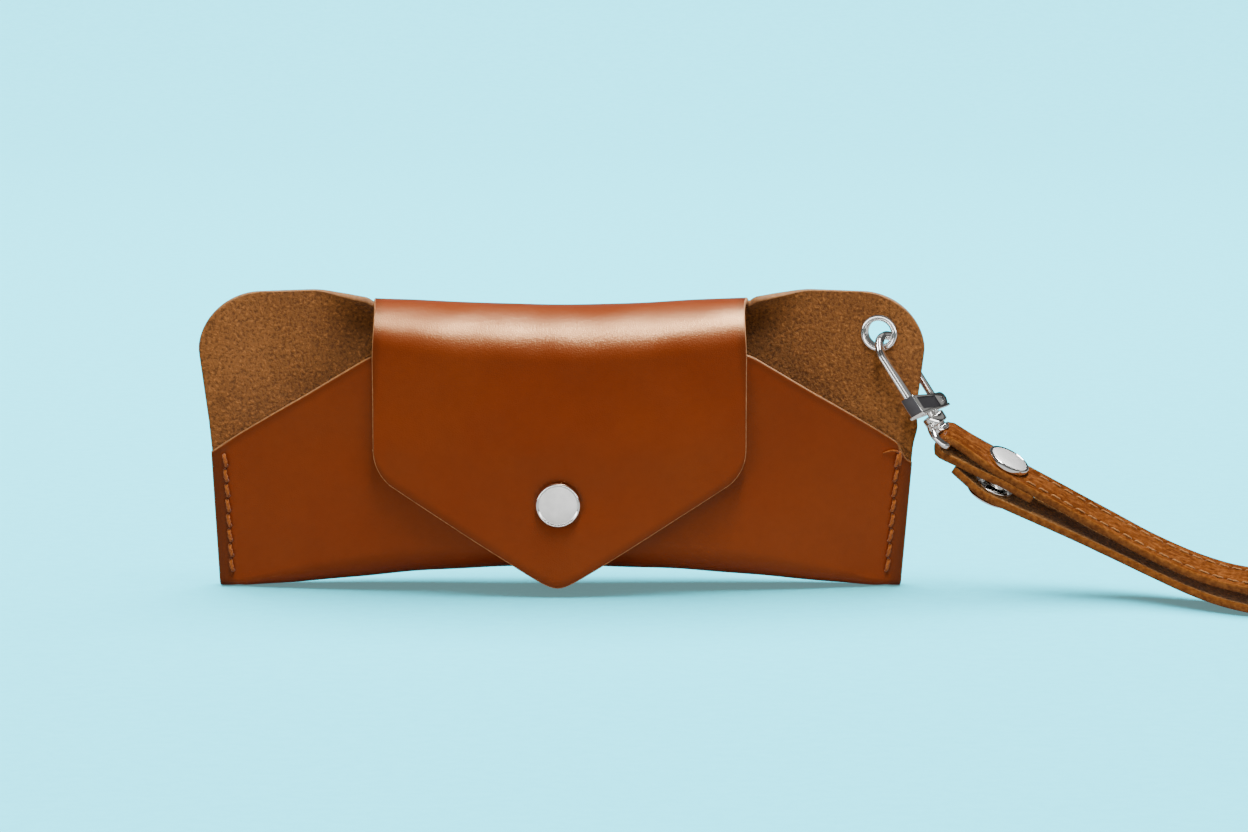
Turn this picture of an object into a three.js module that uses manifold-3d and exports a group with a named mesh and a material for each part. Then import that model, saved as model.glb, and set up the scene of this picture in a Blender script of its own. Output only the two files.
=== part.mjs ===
// Soft leather eyeglasses case: a folded and stitched pouch, a snap flap, a corner eyelet,
// a small swivel clasp and a wrist strap with a snap of its own.
// Millimetres, X to the right, Y away from the front, Z up.
import * as THREE from "three";
import Module from "manifold-3d";

const wasm = await Module();
wasm.setup();

// ---- Driving dimensions ----
const SEAM_Y = 1.55; // where the seam plane lies in the part's own frame
const HIDE = 1.6; // leather thickness
const EDGE_LAYER = 1.0; // distance of a layer's middle from the seam plane at the stitched margin
const MARGIN = 5.5; // width of the flat stitched margin
const HALF_FOOT = 80.5; // half width at the bottom fold
const SEAM_TOP = 33; // top of the side seams
const HALF_SEAM = 83; // half width at the top of the seams
const HALF_EAR = 86; // half width at the ears of the back panel
const EAR_Z = 59.8;
const EAR_RISE = 10.7;
const EAR_ROUND = 14;
const FLAP_HALF = 44.3;
const BOTTOM_LIFT = 4.5; // how far the bottom fold arches up in the middle
const CROWN_Z = 56; // height of the crown arc's centre in the middle
const CROWN_Z_EDGE = 59.8;
const BACK_DEPTH = 11.2; // middle of the back panel to the seam plane
const FRONT_DEPTH = 7.8;
const FRONT_DEPTH_TOP = 8.6;
const FLAP_DEPTH = 12.3;
const FRONT_TOP = 56;
const FRONT_SHOULDER = 46;
const FLAP_TIP_Z = 1.9;
const FLAP_SLANT = 0.642;
const FLAP_SHOULDER_Z = 31;
const ROOT_Y = 4.7; // where the flap leaves the back panel, on the crown arc
const GAP = 0.3;
const SNAP_Z = 22;
const STITCH_PITCH = 3.65;
const STITCH_FIRST = 3.4;
const STITCH_COUNT = 9;
const STITCH_INSET = 3;
const THREAD_R = 0.35;

// ---- Small tools ----
const V = (x, y, z) => new THREE.Vector3(x, y, z);
const clamp01 = (t) => Math.min(1, Math.max(0, t));
const ease = (t) => {
  const c = clamp01(t);
  return c * c * (3 - 2 * c);
};
const mix = (a, b, t) => a + (b - a) * t;
const rad = Math.PI / 180;

function toSolid(points, triangles) {
  const build = (list) =>
    new wasm.Manifold(
      new wasm.Mesh({
        numProp: 3,
        vertProperties: new Float32Array(points.flatMap((p) => [p.x, p.y, p.z])),
        triVerts: new Uint32Array(list.flat()),
      }),
    );
  const solid = build(triangles);
  return solid.volume() > 0 ? solid : build(triangles.map(([a, b, c]) => [a, c, b]));
}

// A solid through rings of points; the ends are closed with fans round their centres.
function loft(rings) {
  const n = rings[0].length;
  const points = rings.flat();
  const triangles = [];
  for (let i = 0; i + 1 < rings.length; i++) {
    for (let j = 0; j < n; j++) {
      const a = i * n + j;
      const b = i * n + ((j + 1) % n);
      triangles.push([a, b, b + n], [a, b + n, a + n]);
    }
  }
  for (const [start, flip] of [[0, true], [(rings.length - 1) * n, false]]) {
    const centre = points.length;
    const middle = V(0, 0, 0);
    for (let j = 0; j < n; j++) middle.addScaledVector(points[start + j], 1 / n);
    points.push(middle);
    for (let j = 0; j < n; j++) {
      const a = start + j;
      const b = start + ((j + 1) % n);
      triangles.push(flip ? [centre, b, a] : [centre, a, b]);
    }
  }
  return toSolid(points, triangles);
}

// A sheet of even thickness on a grid of middle points.
function sheet(grid, thickness) {
  const rows = grid.length;
  const cols = grid[0].length;
  const normalAt = (i, j) => {
    const along = grid[Math.min(i + 1, rows - 1)][j].clone().sub(grid[Math.max(i - 1, 0)][j]);
    const across = grid[i][Math.min(j + 1, cols - 1)].clone().sub(grid[i][Math.max(j - 1, 0)]);
    return along.cross(across).normalize();
  };
  const points = [];
  for (const side of [0.5, -0.5]) {
    for (let i = 0; i < rows; i++) {
      for (let j = 0; j < cols; j++) {
        points.push(grid[i][j].clone().addScaledVector(normalAt(i, j), side * thickness));
      }
    }
  }
  const under = rows * cols;
  const triangles = [];
  for (let i = 0; i + 1 < rows; i++) {
    for (let j = 0; j + 1 < cols; j++) {
      const a = i * cols + j;
      const b = a + 1;
      const c = b + cols;
      const d = a + cols;
      triangles.push([a, c, b], [a, d, c]);
      triangles.push([a + under, b + under, c + under], [a + under, c + under, d + under]);
    }
  }
  const rim = [];
  for (let j = 0; j < cols - 1; j++) rim.push(j);
  for (let i = 0; i < rows - 1; i++) rim.push(i * cols + cols - 1);
  for (let j = cols - 1; j > 0; j--) rim.push((rows - 1) * cols + j);
  for (let i = rows - 1; i > 0; i--) rim.push(i * cols);
  rim.forEach((a, k) => {
    const b = rim[(k + 1) % rim.length];
    triangles.push([a, b, b + under], [a, b + under, a + under]);
  });
  return toSolid(points, triangles);
}

// A frame whose local z runs along the given direction.
function frameAt(origin, direction, acrossHint = V(0, 0, 1)) {
  const z = direction.clone().normalize();
  const x = new THREE.Vector3().crossVectors(acrossHint, z);
  if (x.length() < 1e-3) x.set(1, 0, 0);
  x.normalize();
  const y = new THREE.Vector3().crossVectors(z, x);
  return new THREE.Matrix4().makeBasis(x, y, z).setPosition(origin);
}

// A turned solid: closed rings of (radius, height) round the frame's z axis.
function turned(profile, frame, sides) {
  const points = [];
  const triangles = [];
  const index = profile.map(([r, h]) => {
    const first = points.length;
    const count = r < 1e-6 ? 1 : sides;
    for (let k = 0; k < count; k++) {
      const a = (2 * Math.PI * k) / sides;
      points.push(V(r * Math.cos(a), r * Math.sin(a), h).applyMatrix4(frame));
    }
    return { first, count };
  });
  const closed = profile[0][0] > 1e-6;
  const last = closed ? profile.length : profile.length - 1;
  for (let i = 0; i < last; i++) {
    const p = index[i];
    const q = index[(i + 1) % profile.length];
    for (let k = 0; k < sides; k++) {
      const next = (k + 1) % sides;
      const a = p.first + (p.count > 1 ? k : 0);
      const b = p.first + (p.count > 1 ? next : 0);
      const c = q.first + (q.count > 1 ? next : 0);
      const d = q.first + (q.count > 1 ? k : 0);
      if (a !== b) triangles.push([a, b, c]);
      if (c !== d) triangles.push([a, c, d]);
    }
  }
  return toSolid(points, triangles);
}

const rod = (origin, direction, radius, length, sides = 12) =>
  turned([[0, 0], [radius, 0], [radius, length], [0, length]], frameAt(origin, direction), sides);

// A round bar along a path that stays in one plane.
function bar(path, radius, planeNormal, sides = 10) {
  const rings = path.map((p, i) => {
    const before = path[Math.max(i - 1, 0)];
    const after = path[Math.min(i + 1, path.length - 1)];
    const tangent = after.clone().sub(before).normalize();
    const side = new THREE.Vector3().crossVectors(planeNormal, tangent).normalize();
    return Array.from({ length: sides }, (_, k) => {
      const a = (2 * Math.PI * k) / sides;
      return p
        .clone()
        .addScaledVector(side, radius * Math.cos(a))
        .addScaledVector(planeNormal, radius * Math.sin(a));
    });
  });
  return loft(rings);
}

// A block in a frame, from one corner to the other.
function block(frame, low, high) {
  const corner = (x, y, z) => V(x, y, z).applyMatrix4(frame);
  const ring = (z) => [
    corner(low[0], low[1], z),
    corner(high[0], low[1], z),
    corner(high[0], high[1], z),
    corner(low[0], high[1], z),
  ];
  return loft([ring(low[2]), ring(high[2])]);
}

// ---- The pouch's shape ----
const halfAt = (z) => {
  if (z <= SEAM_TOP) return mix(HALF_FOOT, HALF_SEAM, z / SEAM_TOP);
  return mix(HALF_SEAM, HALF_EAR, Math.min(1, (z - SEAM_TOP) / (58 - SEAM_TOP)));
};
const outlineAt = (z) => {
  const t = clamp01((z - EAR_Z) / EAR_RISE);
  return halfAt(z) - EAR_ROUND * (1 - Math.sqrt(1 - t * t));
};
const swell = (x, z) => 1 - Math.pow(clamp01(Math.abs(x) / (halfAt(z) - MARGIN)), 2.6);
const layer = (depth, x, z) => EDGE_LAYER + (depth - EDGE_LAYER) * swell(x, z);
const crownZ = (x) => mix(CROWN_Z, CROWN_Z_EDGE, clamp01((x / FLAP_HALF) ** 2));
const bottomZ = (x) => HIDE / 2 + BOTTOM_LIFT * Math.pow(Math.max(0, 1 - (x / 75) ** 2), 1.2);
const backDepth = (z) => mix(9.2, BACK_DEPTH, ease((z - 13) / 37));
const frontDepth = (z) => mix(FRONT_DEPTH, FRONT_DEPTH_TOP, ease((z - 30) / 26));
const flapDepth = (x, z) => mix(FLAP_DEPTH, BACK_DEPTH, ease((z - 33) / (crownZ(x) - 33)));
const frontTop = (x) => {
  const slant = (FRONT_TOP - SEAM_TOP) / (HALF_SEAM - FRONT_SHOULDER);
  return FRONT_TOP - slant * Math.max(0, Math.abs(x) - FRONT_SHOULDER);
};
// A column keeps its x up to 60 mm from the middle and follows the outline beyond.
const columnX = (column, z) => {
  const [side, inner, outer] = column;
  return side * (outer === 0 ? inner : 60 + outer * (outlineAt(z) - 60));
};
const INNER = [0, 9, 18, 27, 36, FLAP_HALF, 52, 60];
const OUTER = [0.3, 0.55, 0.78, 1];
const HALF_COLUMNS = [...INNER.map((x) => [x, 0]), ...OUTER.map((q) => [60, q])];
const COLUMNS = [
  ...HALF_COLUMNS.slice(1).reverse().map(([x, q]) => [-1, x, q]),
  ...HALF_COLUMNS.map(([x, q]) => [1, x, q]),
];

const rootAngle = (radius) => Math.acos(ROOT_Y / radius);

function pouchGrid() {
  const rows = [];
  for (let i = 0; i < 5; i++) {
    rows.push(
      COLUMNS.map((column) => {
        const xEdge = columnX(column, 36);
        const foot = bottomZ(xEdge);
        const start = foot + (layer(FRONT_DEPTH, xEdge, 10) + layer(9.2, xEdge, 10)) / 2;
        const z = mix(frontTop(xEdge), start, i / 5);
        const x = columnX(column, z);
        return V(x, -layer(frontDepth(z), x, z), z);
      }),
    );
  }
  for (let i = 0; i <= 8; i++) {
    const a = (-90 + (180 * i) / 8) * rad;
    rows.push(
      COLUMNS.map((column) => {
        const x = columnX(column, 3);
        const front = layer(FRONT_DEPTH, x, 10);
        const back = layer(9.2, x, 10);
        const radius = (front + back) / 2;
        const z = bottomZ(x) + radius * (1 - Math.cos(a));
        return V(columnX(column, z), (back - front) / 2 + radius * Math.sin(a), z);
      }),
    );
  }
  for (let i = 1; i <= 4; i++) {
    rows.push(
      COLUMNS.map((column) => {
        const x0 = columnX(column, 10);
        const start = bottomZ(x0) + (layer(FRONT_DEPTH, x0, 10) + layer(9.2, x0, 10)) / 2;
        const z = mix(start, crownZ(x0), i / 4);
        const x = columnX(column, z);
        return V(x, layer(backDepth(z), x, z), z);
      }),
    );
  }
  for (let i = 1; i <= 6; i++) {
    const share = Math.sin((i / 6) * 90 * rad);
    rows.push(
      COLUMNS.map((column) => {
        const x0 = columnX(column, EAR_Z);
        const radius = layer(BACK_DEPTH, Math.min(Math.abs(x0), FLAP_HALF), EAR_Z);
        const full = rootAngle(radius);
        const fade = clamp01((Math.abs(x0) - FLAP_HALF) / (60 - FLAP_HALF));
        const turn = Math.max(0.001, full * (1 - ease(fade)));
        const length = mix(radius * full, EAR_RISE, ease(fade));
        const r = length / turn;
        const a = turn * share;
        const z = crownZ(x0) + r * Math.sin(a);
        const x = columnX(column, z);
        return V(x, layer(BACK_DEPTH, x, z) - r * (1 - Math.cos(a)), z);
      }),
    );
  }
  return rows;
}

// ---- The flap's shape ----
const FLAP_X = [0, 3.4, 6.5, 14, 22, 30, 37.3, 40.8, 43.2, FLAP_HALF];
const FLAP_COLUMNS = [...FLAP_X.slice(1).reverse().map((x) => -x), ...FLAP_X];
const flapEdgeZ = (x) => {
  const a = Math.abs(x);
  const slanted = FLAP_TIP_Z - 1.1 + FLAP_SLANT * Math.sqrt(a * a + 6.5);
  const shoulder = FLAP_SHOULDER_Z - Math.sqrt(Math.max(0, 49 - (a - (FLAP_HALF - 7)) ** 2)) + 1.6;
  return a > FLAP_HALF - 7 ? Math.max(slanted, shoulder) : slanted;
};
function flapGrid() {
  const rows = [];
  for (let i = 0; i <= 8; i++) {
    rows.push(
      FLAP_COLUMNS.map((x) => {
        const radius = layer(BACK_DEPTH, x, EAR_Z);
        const start = rootAngle(radius) + GAP / radius;
        const a = mix(start, Math.PI, i / 8);
        return V(x, radius * Math.cos(a), crownZ(x) + radius * Math.sin(a));
      }),
    );
  }
  for (let i = 1; i <= 6; i++) {
    rows.push(
      FLAP_COLUMNS.map((x) => {
        const z = mix(crownZ(x), flapEdgeZ(x), i / 6);
        return V(x, -layer(flapDepth(x, z), x, EAR_Z), z);
      }),
    );
  }
  return rows;
}

let pouch = sheet(pouchGrid(), HIDE);
let flap = sheet(flapGrid(), HIDE);

// ---- Seam threads: a bar on each face, joined through every stitch hole ----
function seam(side) {
  const xAt = (z) => side * (halfAt(z) - STITCH_INSET);
  const heights = Array.from({ length: STITCH_COUNT }, (_, i) => STITCH_FIRST + i * STITCH_PITCH);
  const reach = EDGE_LAYER + HIDE / 2 + 0.2 + THREAD_R;
  const low = heights[0];
  const high = heights[heights.length - 1];
  let thread = null;
  for (const face of [-1, 1]) {
    const ends = [low - THREAD_R, high + THREAD_R].map((z) => V(xAt(z), face * reach, z));
    const straight = rod(ends[0], ends[1].clone().sub(ends[0]), THREAD_R, ends[1].distanceTo(ends[0]), 8);
    thread = thread ? thread.add(straight) : straight;
  }
  for (const z of heights) {
    thread = thread.add(rod(V(xAt(z), -reach, z), V(0, 1, 0), THREAD_R * 0.9, 2 * reach, 6));
    pouch = pouch.subtract(rod(V(xAt(z), -reach, z), V(0, 1, 0), THREAD_R + 0.25, 2 * reach, 6));
  }
  return thread;
}
const seamLeft = seam(-1);
const seamRight = seam(1);

// ---- Flap snap ----
const FRONT = V(0, -1, 0);
const panelFace = -(layer(FRONT_DEPTH, 0, SNAP_Z) + HIDE / 2);
const flapFace = -(layer(FLAP_DEPTH, 0, SNAP_Z) + HIDE / 2);
const snapFrame = frameAt(V(0, panelFace, SNAP_Z), FRONT);
const flapSnapFrame = frameAt(V(0, flapFace, SNAP_Z), FRONT);
pouch = pouch.subtract(rod(V(0, panelFace - 1, SNAP_Z), V(0, 1, 0), 1.5, HIDE + 2, 12));
flap = flap.subtract(rod(V(0, flapFace - 1, SNAP_Z), V(0, 1, 0), 1.7, HIDE + 2, 12));
const snapStud = turned(
  [
    [1.3, 0.2], [4.6, 0.2], [4.7, 0.45], [4.6, 0.75], [1.9, 0.85], [1.55, 1.1], [1.75, 1.6],
    [1.5, 1.95], [0, 2.0], [0, 1.75], [1.3, 1.7],
  ],
  snapFrame,
  16,
);
const snapStudPost = turned(
  [
    [0, 1.4], [1.0, 1.35], [1.0, -HIDE - 0.2], [4.6, -HIDE - 0.2], [4.7, -HIDE - 0.5],
    [4.3, -HIDE - 0.8], [0, -HIDE - 0.8],
  ],
  snapFrame,
  16,
);
const capProfile = (thick, reach) => [
  [0, 2.0],
  [2.2, 1.9],
  [4.0, 1.5],
  [5.0, 0.9],
  [5.25, 0.5],
  [5.1, 0.2],
  [1.35, 0.2],
  [1.35, -thick - reach],
  [0, -thick - reach],
];
const snapCap = turned(capProfile(HIDE, 0.5), flapSnapFrame, 18);
const socketProfile = (thick) => [
  [1.65, -thick - 0.2],
  [4.5, -thick - 0.2],
  [4.7, -thick - 0.6],
  [4.6, -thick - 1.75],
  [4.0, -thick - 1.9],
  [2.75, -thick - 1.9],
  [2.6, -thick - 1.6],
  [2.6, -thick - 0.7],
  [1.65, -thick - 0.7],
];
const snapSocket = turned(socketProfile(HIDE), flapSnapFrame, 18);

// ---- Corner eyelet ----
const EYE_X = 75.6;
const EYE_Z = 61;
const eyeY = layer(BACK_DEPTH, EYE_X, EYE_Z);
const slope = (layer(BACK_DEPTH, EYE_X + 1, EYE_Z) - layer(BACK_DEPTH, EYE_X - 1, EYE_Z)) / 2;
const EYE = V(EYE_X, eyeY, EYE_Z);
const EYE_AXIS = V(-slope, 1, 0).normalize();
const eyeFrame = frameAt(EYE, EYE_AXIS.clone().negate());
pouch = pouch.subtract(rod(EYE.clone().addScaledVector(EYE_AXIS, -3), EYE_AXIS, 3.65, 6, 20));
const eyeletBarrel = turned(
  [
    [3.0, -1.45], [3.35, -1.45], [3.35, 1.05], [4.2, 1.05], [4.45, 1.25], [4.2, 1.65], [3.6, 1.8],
    [3.1, 1.55], [3.0, 1.2],
  ],
  eyeFrame,
  18,
);
const eyeletWasher = turned(
  [[3.6, -1.05], [3.6, -1.35], [3.9, -1.6], [4.3, -1.5], [4.45, -1.25], [4.3, -1.05]],
  eyeFrame,
  18,
);

// ---- Clasp: a loop through the eyelet, closed by a block and a sprung gate ----
const R = V(0.538, -0.114, -0.835).normalize();
const W = V(0.5, 0.84, 0.21);
W.addScaledVector(R, -W.dot(R)).normalize();
const N = new THREE.Vector3().crossVectors(R, W).normalize();
const LOOP_R = 4.5;
const WIRE = 0.95;
const APEX = EYE.clone()
  .addScaledVector(V(EYE_AXIS.y, -EYE_AXIS.x, 0), 0.6)
  .add(V(0, 0, -1.0));
const clasp = (w, r, n = 0) =>
  APEX.clone().addScaledVector(W, w).addScaledVector(R, r).addScaledVector(N, n);
const claspFrame = new THREE.Matrix4().makeBasis(W, N, R).setPosition(APEX);
const hookPath = [clasp(-LOOP_R, 20.1), clasp(-LOOP_R, 11), clasp(-LOOP_R, LOOP_R)];
for (let i = 1; i <= 9; i++) {
  const a = (180 * i * rad) / 9;
  hookPath.push(clasp(-LOOP_R * Math.cos(a), LOOP_R - LOOP_R * Math.sin(a)));
}
hookPath.push(clasp(LOOP_R, LOOP_R + 0.5));
const claspHook = bar(hookPath, WIRE, N, 12);
const PIN_R = 20.4;
const PIN_W = 4.3;
let claspBlock = block(claspFrame, [-5.6, -1.7, 18.4], [5.6, 2.2, 22.4]);
claspBlock = claspBlock.add(block(claspFrame, [-5.9, -2.0, 22.1], [5.9, 2.5, 22.8]));
claspBlock = claspBlock
  .subtract(rod(clasp(-LOOP_R, 17), R, WIRE + 0.25, 3.4, 12))
  .subtract(block(claspFrame, [2.4, -1.3, 16.5], [6.2, 1.3, 23]))
  .subtract(rod(clasp(PIN_W, PIN_R, -3), N, 0.8, 6, 10));
const gatePin = rod(clasp(PIN_W, PIN_R, -1.7), N, 0.5, 3.8, 10);
const gateEye = rod(clasp(PIN_W, PIN_R, -WIRE), N, 1.55, 2 * WIRE, 14);
const claspGate = bar([clasp(LOOP_R, PIN_R - 0.6), clasp(LOOP_R, 12), clasp(LOOP_R, 5.3)], WIRE, N, 12)
  .add(gateEye)
  .subtract(rod(clasp(PIN_W, PIN_R, -3), N, 0.8, 6, 10));
claspBlock = claspBlock.subtract(rod(clasp(0, 19.3), R, 1.3, 5, 10));
const RIVET = [[0, 19.6], [1.0, 19.6], [1.0, 24.7], [1.5, 24.8], [1.45, 25.2], [0, 25.4]];
const swivelRivet = turned(RIVET, claspFrame, 12);

// ---- Swivel eye: a grooved barrel with a D-shaped ring ----
const PLAN = 12 * rad;
const ALONG = V(Math.cos(PLAN), -Math.sin(PLAN), 0);
const ACROSS = V(Math.sin(PLAN), Math.cos(PLAN), 0);
const RING_R = 29.6;
const BAR_AT = clasp(0, RING_R);
const ringNormal = new THREE.Vector3().crossVectors(R, ACROSS).normalize();
const ring = (w, r) => APEX.clone().addScaledVector(ACROSS, w).addScaledVector(R, r);
const arch = [[6.7, RING_R], [6.7, 28.4], [6.5, 26.6], [5.2, 25.1], [3.6, 24.4], [2.4, 24.2]];
const ringPath = [
  ...arch.slice().reverse().map(([w, r]) => ring(-w, r)),
  ...arch.map(([w, r]) => ring(w, r)),
];
let swivelEye = turned(
  [
    [1.3, 23.1], [2.5, 23.1], [2.7, 23.3], [2.7, 23.6], [2.4, 23.9], [2.4, 24.2], [2.7, 24.5],
    [2.7, 25.4], [2.5, 25.7], [1.9, 25.7], [1.9, 24.5], [1.3, 24.4],
  ],
  claspFrame,
  16,
);
swivelEye = swivelEye.add(bar(ringPath, 0.85, ringNormal, 10));

// ---- Wrist strap: a folded band in one upright plane ----
const BAND = 1.8;
const strapPoint = (s, z, w = 0) =>
  V(BAR_AT.x, BAR_AT.y, 0).addScaledVector(ALONG, s).addScaledVector(ACROSS, w).setZ(z);
const FOLD_R = 2.05;
const OUTER_RUN = [
  [13.7, 30.6],
  [25, 24.9],
  [36.7, 18.9],
  [49, 13.3],
  [61.3, 8.7],
  [73, 6.1],
  [90, 5.7],
  [108, 6.9],
  [124, 9.4],
  [138, 12.4],
];
const FAR_BEND = [
  [147, 13.9],
  [154, 14.1],
  [159.5, 11.8],
  [161.8, 7.8],
  [160.3, 3.8],
  [155.5, 1.3],
  [149, 0.9],
];
const LOWER_RUN = [
  [136, 0.9],
  [110, 0.9],
  [84, 0.9],
  [67, 0.95],
  [57, 2.5],
  [47, 6.7],
  [36.7, 11.1],
  [22.5, 17.3],
];
const TAIL_FROM = 6; // index of the lower-run point where the tail bends
const TAIL_LEVEL = 8.0; // middle of the outer run to the middle of the tail, at the snap
const HOLD = Math.atan2(30.6 - (BAR_AT.z + FOLD_R * 0.88), 13.7 - FOLD_R * 0.45);
const foldPoint = (degrees) => [
  FOLD_R * Math.cos(HOLD + degrees * rad),
  BAR_AT.z + FOLD_R * Math.sin(HOLD + degrees * rad),
];
const topStart = foldPoint(90);
for (const back of [0, 5, 10.5]) {
  LOWER_RUN.push([
    OUTER_RUN[0][0] + TAIL_LEVEL * Math.sin(HOLD) - back * Math.cos(HOLD),
    OUTER_RUN[0][1] - TAIL_LEVEL * Math.cos(HOLD) - back * Math.sin(HOLD),
  ]);
}
const dropped = (p, q, d) => {
  const length = Math.hypot(q[0] - p[0], q[1] - p[1]);
  return [(q[1] - p[1]) / length * d, -(q[0] - p[0]) / length * d];
};
const shift = dropped(topStart, OUTER_RUN[0], BAND + GAP);
const nearB = (s, z) => [s + shift[0], z + shift[1]];
const UNDER_RUN = [
  nearB(23.5, mix(OUTER_RUN[0][1], OUTER_RUN[1][1], (23.5 - 13.7) / 11.3)),
  nearB(18, mix(OUTER_RUN[0][1], OUTER_RUN[1][1], (18 - 13.7) / 11.3)),
  nearB(OUTER_RUN[0][0], OUTER_RUN[0][1]),
  nearB(8.5, OUTER_RUN[0][1] - Math.tan(HOLD) * (13.7 - 8.5)),
];
const foldArc = [270, 235, 200, 165, 130, 90].map(foldPoint);
const bandPath = [...UNDER_RUN, ...foldArc, ...OUTER_RUN, ...FAR_BEND, ...LOWER_RUN];
const tailIndex = bandPath.length - LOWER_RUN.length + TAIL_FROM;

function band(points, widthAt) {
  const rings = points.map(([s, z], i) => {
    const p = points[Math.max(i - 1, 0)];
    const q = points[Math.min(i + 1, points.length - 1)];
    const length = Math.hypot(q[0] - p[0], q[1] - p[1]);
    const n = [-(q[1] - p[1]) / length, (q[0] - p[0]) / length];
    const half = widthAt(s);
    const at = (w, t) => strapPoint(s + n[0] * t, z + n[1] * t, w);
    return [at(-half, -BAND / 2), at(half, -BAND / 2), at(half, BAND / 2), at(-half, BAND / 2)];
  });
  return loft(rings);
}
const widthAt = (s) => mix(5.0, 6.0, ease((s - 3) / 9));
const HINGE = bandPath[tailIndex];
const before = bandPath[tailIndex - 1];
const after = bandPath[tailIndex + 1];
const cutLength = Math.hypot(after[0] - before[0], after[1] - before[1]);
const cut = [(after[0] - before[0]) / cutLength, (after[1] - before[1]) / cutLength];
const tailCut = [cut[0] * GAP / 2, cut[1] * GAP / 2];
const strapEnd = [HINGE[0] - tailCut[0], HINGE[1] - tailCut[1]];
const tailStart = [HINGE[0] + tailCut[0], HINGE[1] + tailCut[1]];
const strapPath = [...bandPath.slice(0, tailIndex), strapEnd];
const tailPath = [tailStart, ...bandPath.slice(tailIndex + 1)];
let strapBand = band(strapPath, widthAt);
let strapTail = band(tailPath, widthAt);

// Stitch rows sunk half-way into the outer face, past the snap.
function strapRow(side) {
  const first = bandPath.indexOf(OUTER_RUN[1]);
  const last = bandPath.indexOf(OUTER_RUN[7]);
  const path = bandPath.slice(first, last + 1).map(([s, z], k) => {
    const i = first + k;
    const p = bandPath[i - 1];
    const q = bandPath[i + 1];
    const length = Math.hypot(q[0] - p[0], q[1] - p[1]);
    const up = BAND / 2 + 0.02;
    return strapPoint(s - ((q[1] - p[1]) / length) * up, z + ((q[0] - p[0]) / length) * up, side * 4.3);
  });
  const lead = path[0].clone().sub(path[1]).normalize().multiplyScalar(0.3);
  const trail = path[path.length - 1].clone().sub(path[path.length - 2]).normalize().multiplyScalar(0.3);
  const groove = [path[0].clone().add(lead), ...path.slice(1, -1), path[path.length - 1].clone().add(trail)];
  strapBand = strapBand.subtract(bar(groove, 0.6, ACROSS, 6));
  return bar(path, 0.33, ACROSS, 6);
}
const strapRowNear = strapRow(-1);
const strapRowFar = strapRow(1);

// ---- Strap snap ----
const face = V(0, 0, 0)
  .addScaledVector(ALONG, Math.sin(-HOLD))
  .add(V(0, 0, Math.cos(HOLD)))
  .normalize();
const onOuter = OUTER_RUN[0];
const strapSnapAt = strapPoint(onOuter[0], onOuter[1]).addScaledVector(face, BAND / 2);
const strapSnapFrame = frameAt(strapSnapAt, face, ACROSS);
const strapCap = turned(capProfile(2 * BAND + GAP, 0.5), strapSnapFrame, 18);
const strapSocket = turned(socketProfile(2 * BAND + GAP), strapSnapFrame, 18);
const strapHole = rod(strapPoint(onOuter[0], onOuter[1]).addScaledVector(face, -6), face, 1.7, 9, 12);
strapBand = strapBand.subtract(strapHole);
const tailFrame = frameAt(
  strapPoint(onOuter[0], onOuter[1]).addScaledVector(face, BAND / 2 - TAIL_LEVEL),
  face,
  ACROSS,
);
const strapStud = turned(
  [
    [1.3, 0.25], [4.6, 0.25], [4.7, 0.5], [4.6, 0.8], [1.9, 0.9], [1.55, 1.2], [1.75, 1.75],
    [1.5, 2.1], [0, 2.15], [0, 1.85], [1.3, 1.8],
  ],
  tailFrame,
  16,
);
const strapStudPost = turned(
  [
    [0, 1.5], [1.0, 1.45], [1.0, -BAND - 0.25], [4.6, -BAND - 0.25], [4.7, -BAND - 0.55],
    [4.3, -BAND - 0.85], [0, -BAND - 0.85],
  ],
  tailFrame,
  16,
);
strapTail = strapTail.subtract(
  rod(strapPoint(onOuter[0], onOuter[1]).addScaledVector(face, -TAIL_LEVEL - 3), face, 1.4, 6, 12),
);

// ---- Materials and nodes ----
const paint = (colour, roughness, metalness = 0) =>
  new THREE.MeshStandardMaterial({ color: colour, roughness, metalness });
const leather = paint(0x8a4a1c, 0.5);
const strapLeather = paint(0x9c6030, 0.62);
const nickel = paint(0xc8c6c0, 0.25, 1);
const satin = paint(0xb9b7b0, 0.38, 1);
const thread = paint(0xb0703a, 0.8);
const paleThread = paint(0xcf9a62, 0.8);

const nodes = [
  ["case_leather", pouch, leather],
  ["seam_thread_left", seamLeft, thread],
  ["seam_thread_right", seamRight, thread],
  ["snap_stud", snapStud, nickel],
  ["snap_stud_post", snapStudPost, satin],
  ["eyelet_barrel", eyeletBarrel, nickel],
  ["eyelet_washer", eyeletWasher, nickel],
  ["flap_leather", flap, leather],
  ["snap_cap", snapCap, satin],
  ["snap_socket", snapSocket, nickel],
  ["clasp_hook", claspHook, nickel],
  ["clasp_block", claspBlock, nickel],
  ["gate_pin", gatePin, satin],
  ["clasp_gate", claspGate, nickel],
  ["swivel_rivet", swivelRivet, satin],
  ["swivel_eye", swivelEye, nickel],
  ["strap_band", strapBand, strapLeather],
  ["strap_thread_near", strapRowNear, paleThread],
  ["strap_thread_far", strapRowFar, paleThread],
  ["strap_cap", strapCap, satin],
  ["strap_socket", strapSocket, nickel],
  ["strap_tail", strapTail, strapLeather],
  ["strap_stud", strapStud, nickel],
  ["strap_stud_post", strapStudPost, satin],
];

const part = new THREE.Group();
for (const [name, solid, material] of nodes) {
  const mesh = solid.getMesh();
  const geometry = new THREE.BufferGeometry();
  geometry.setAttribute("position", new THREE.BufferAttribute(mesh.vertProperties, 3));
  geometry.setIndex(new THREE.BufferAttribute(mesh.triVerts, 1));
  geometry.translate(0, SEAM_Y, 0);
  geometry.computeVertexNormals();
  const node = new THREE.Mesh(geometry, material);
  node.name = name;
  part.add(node);
}

export default part;
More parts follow.
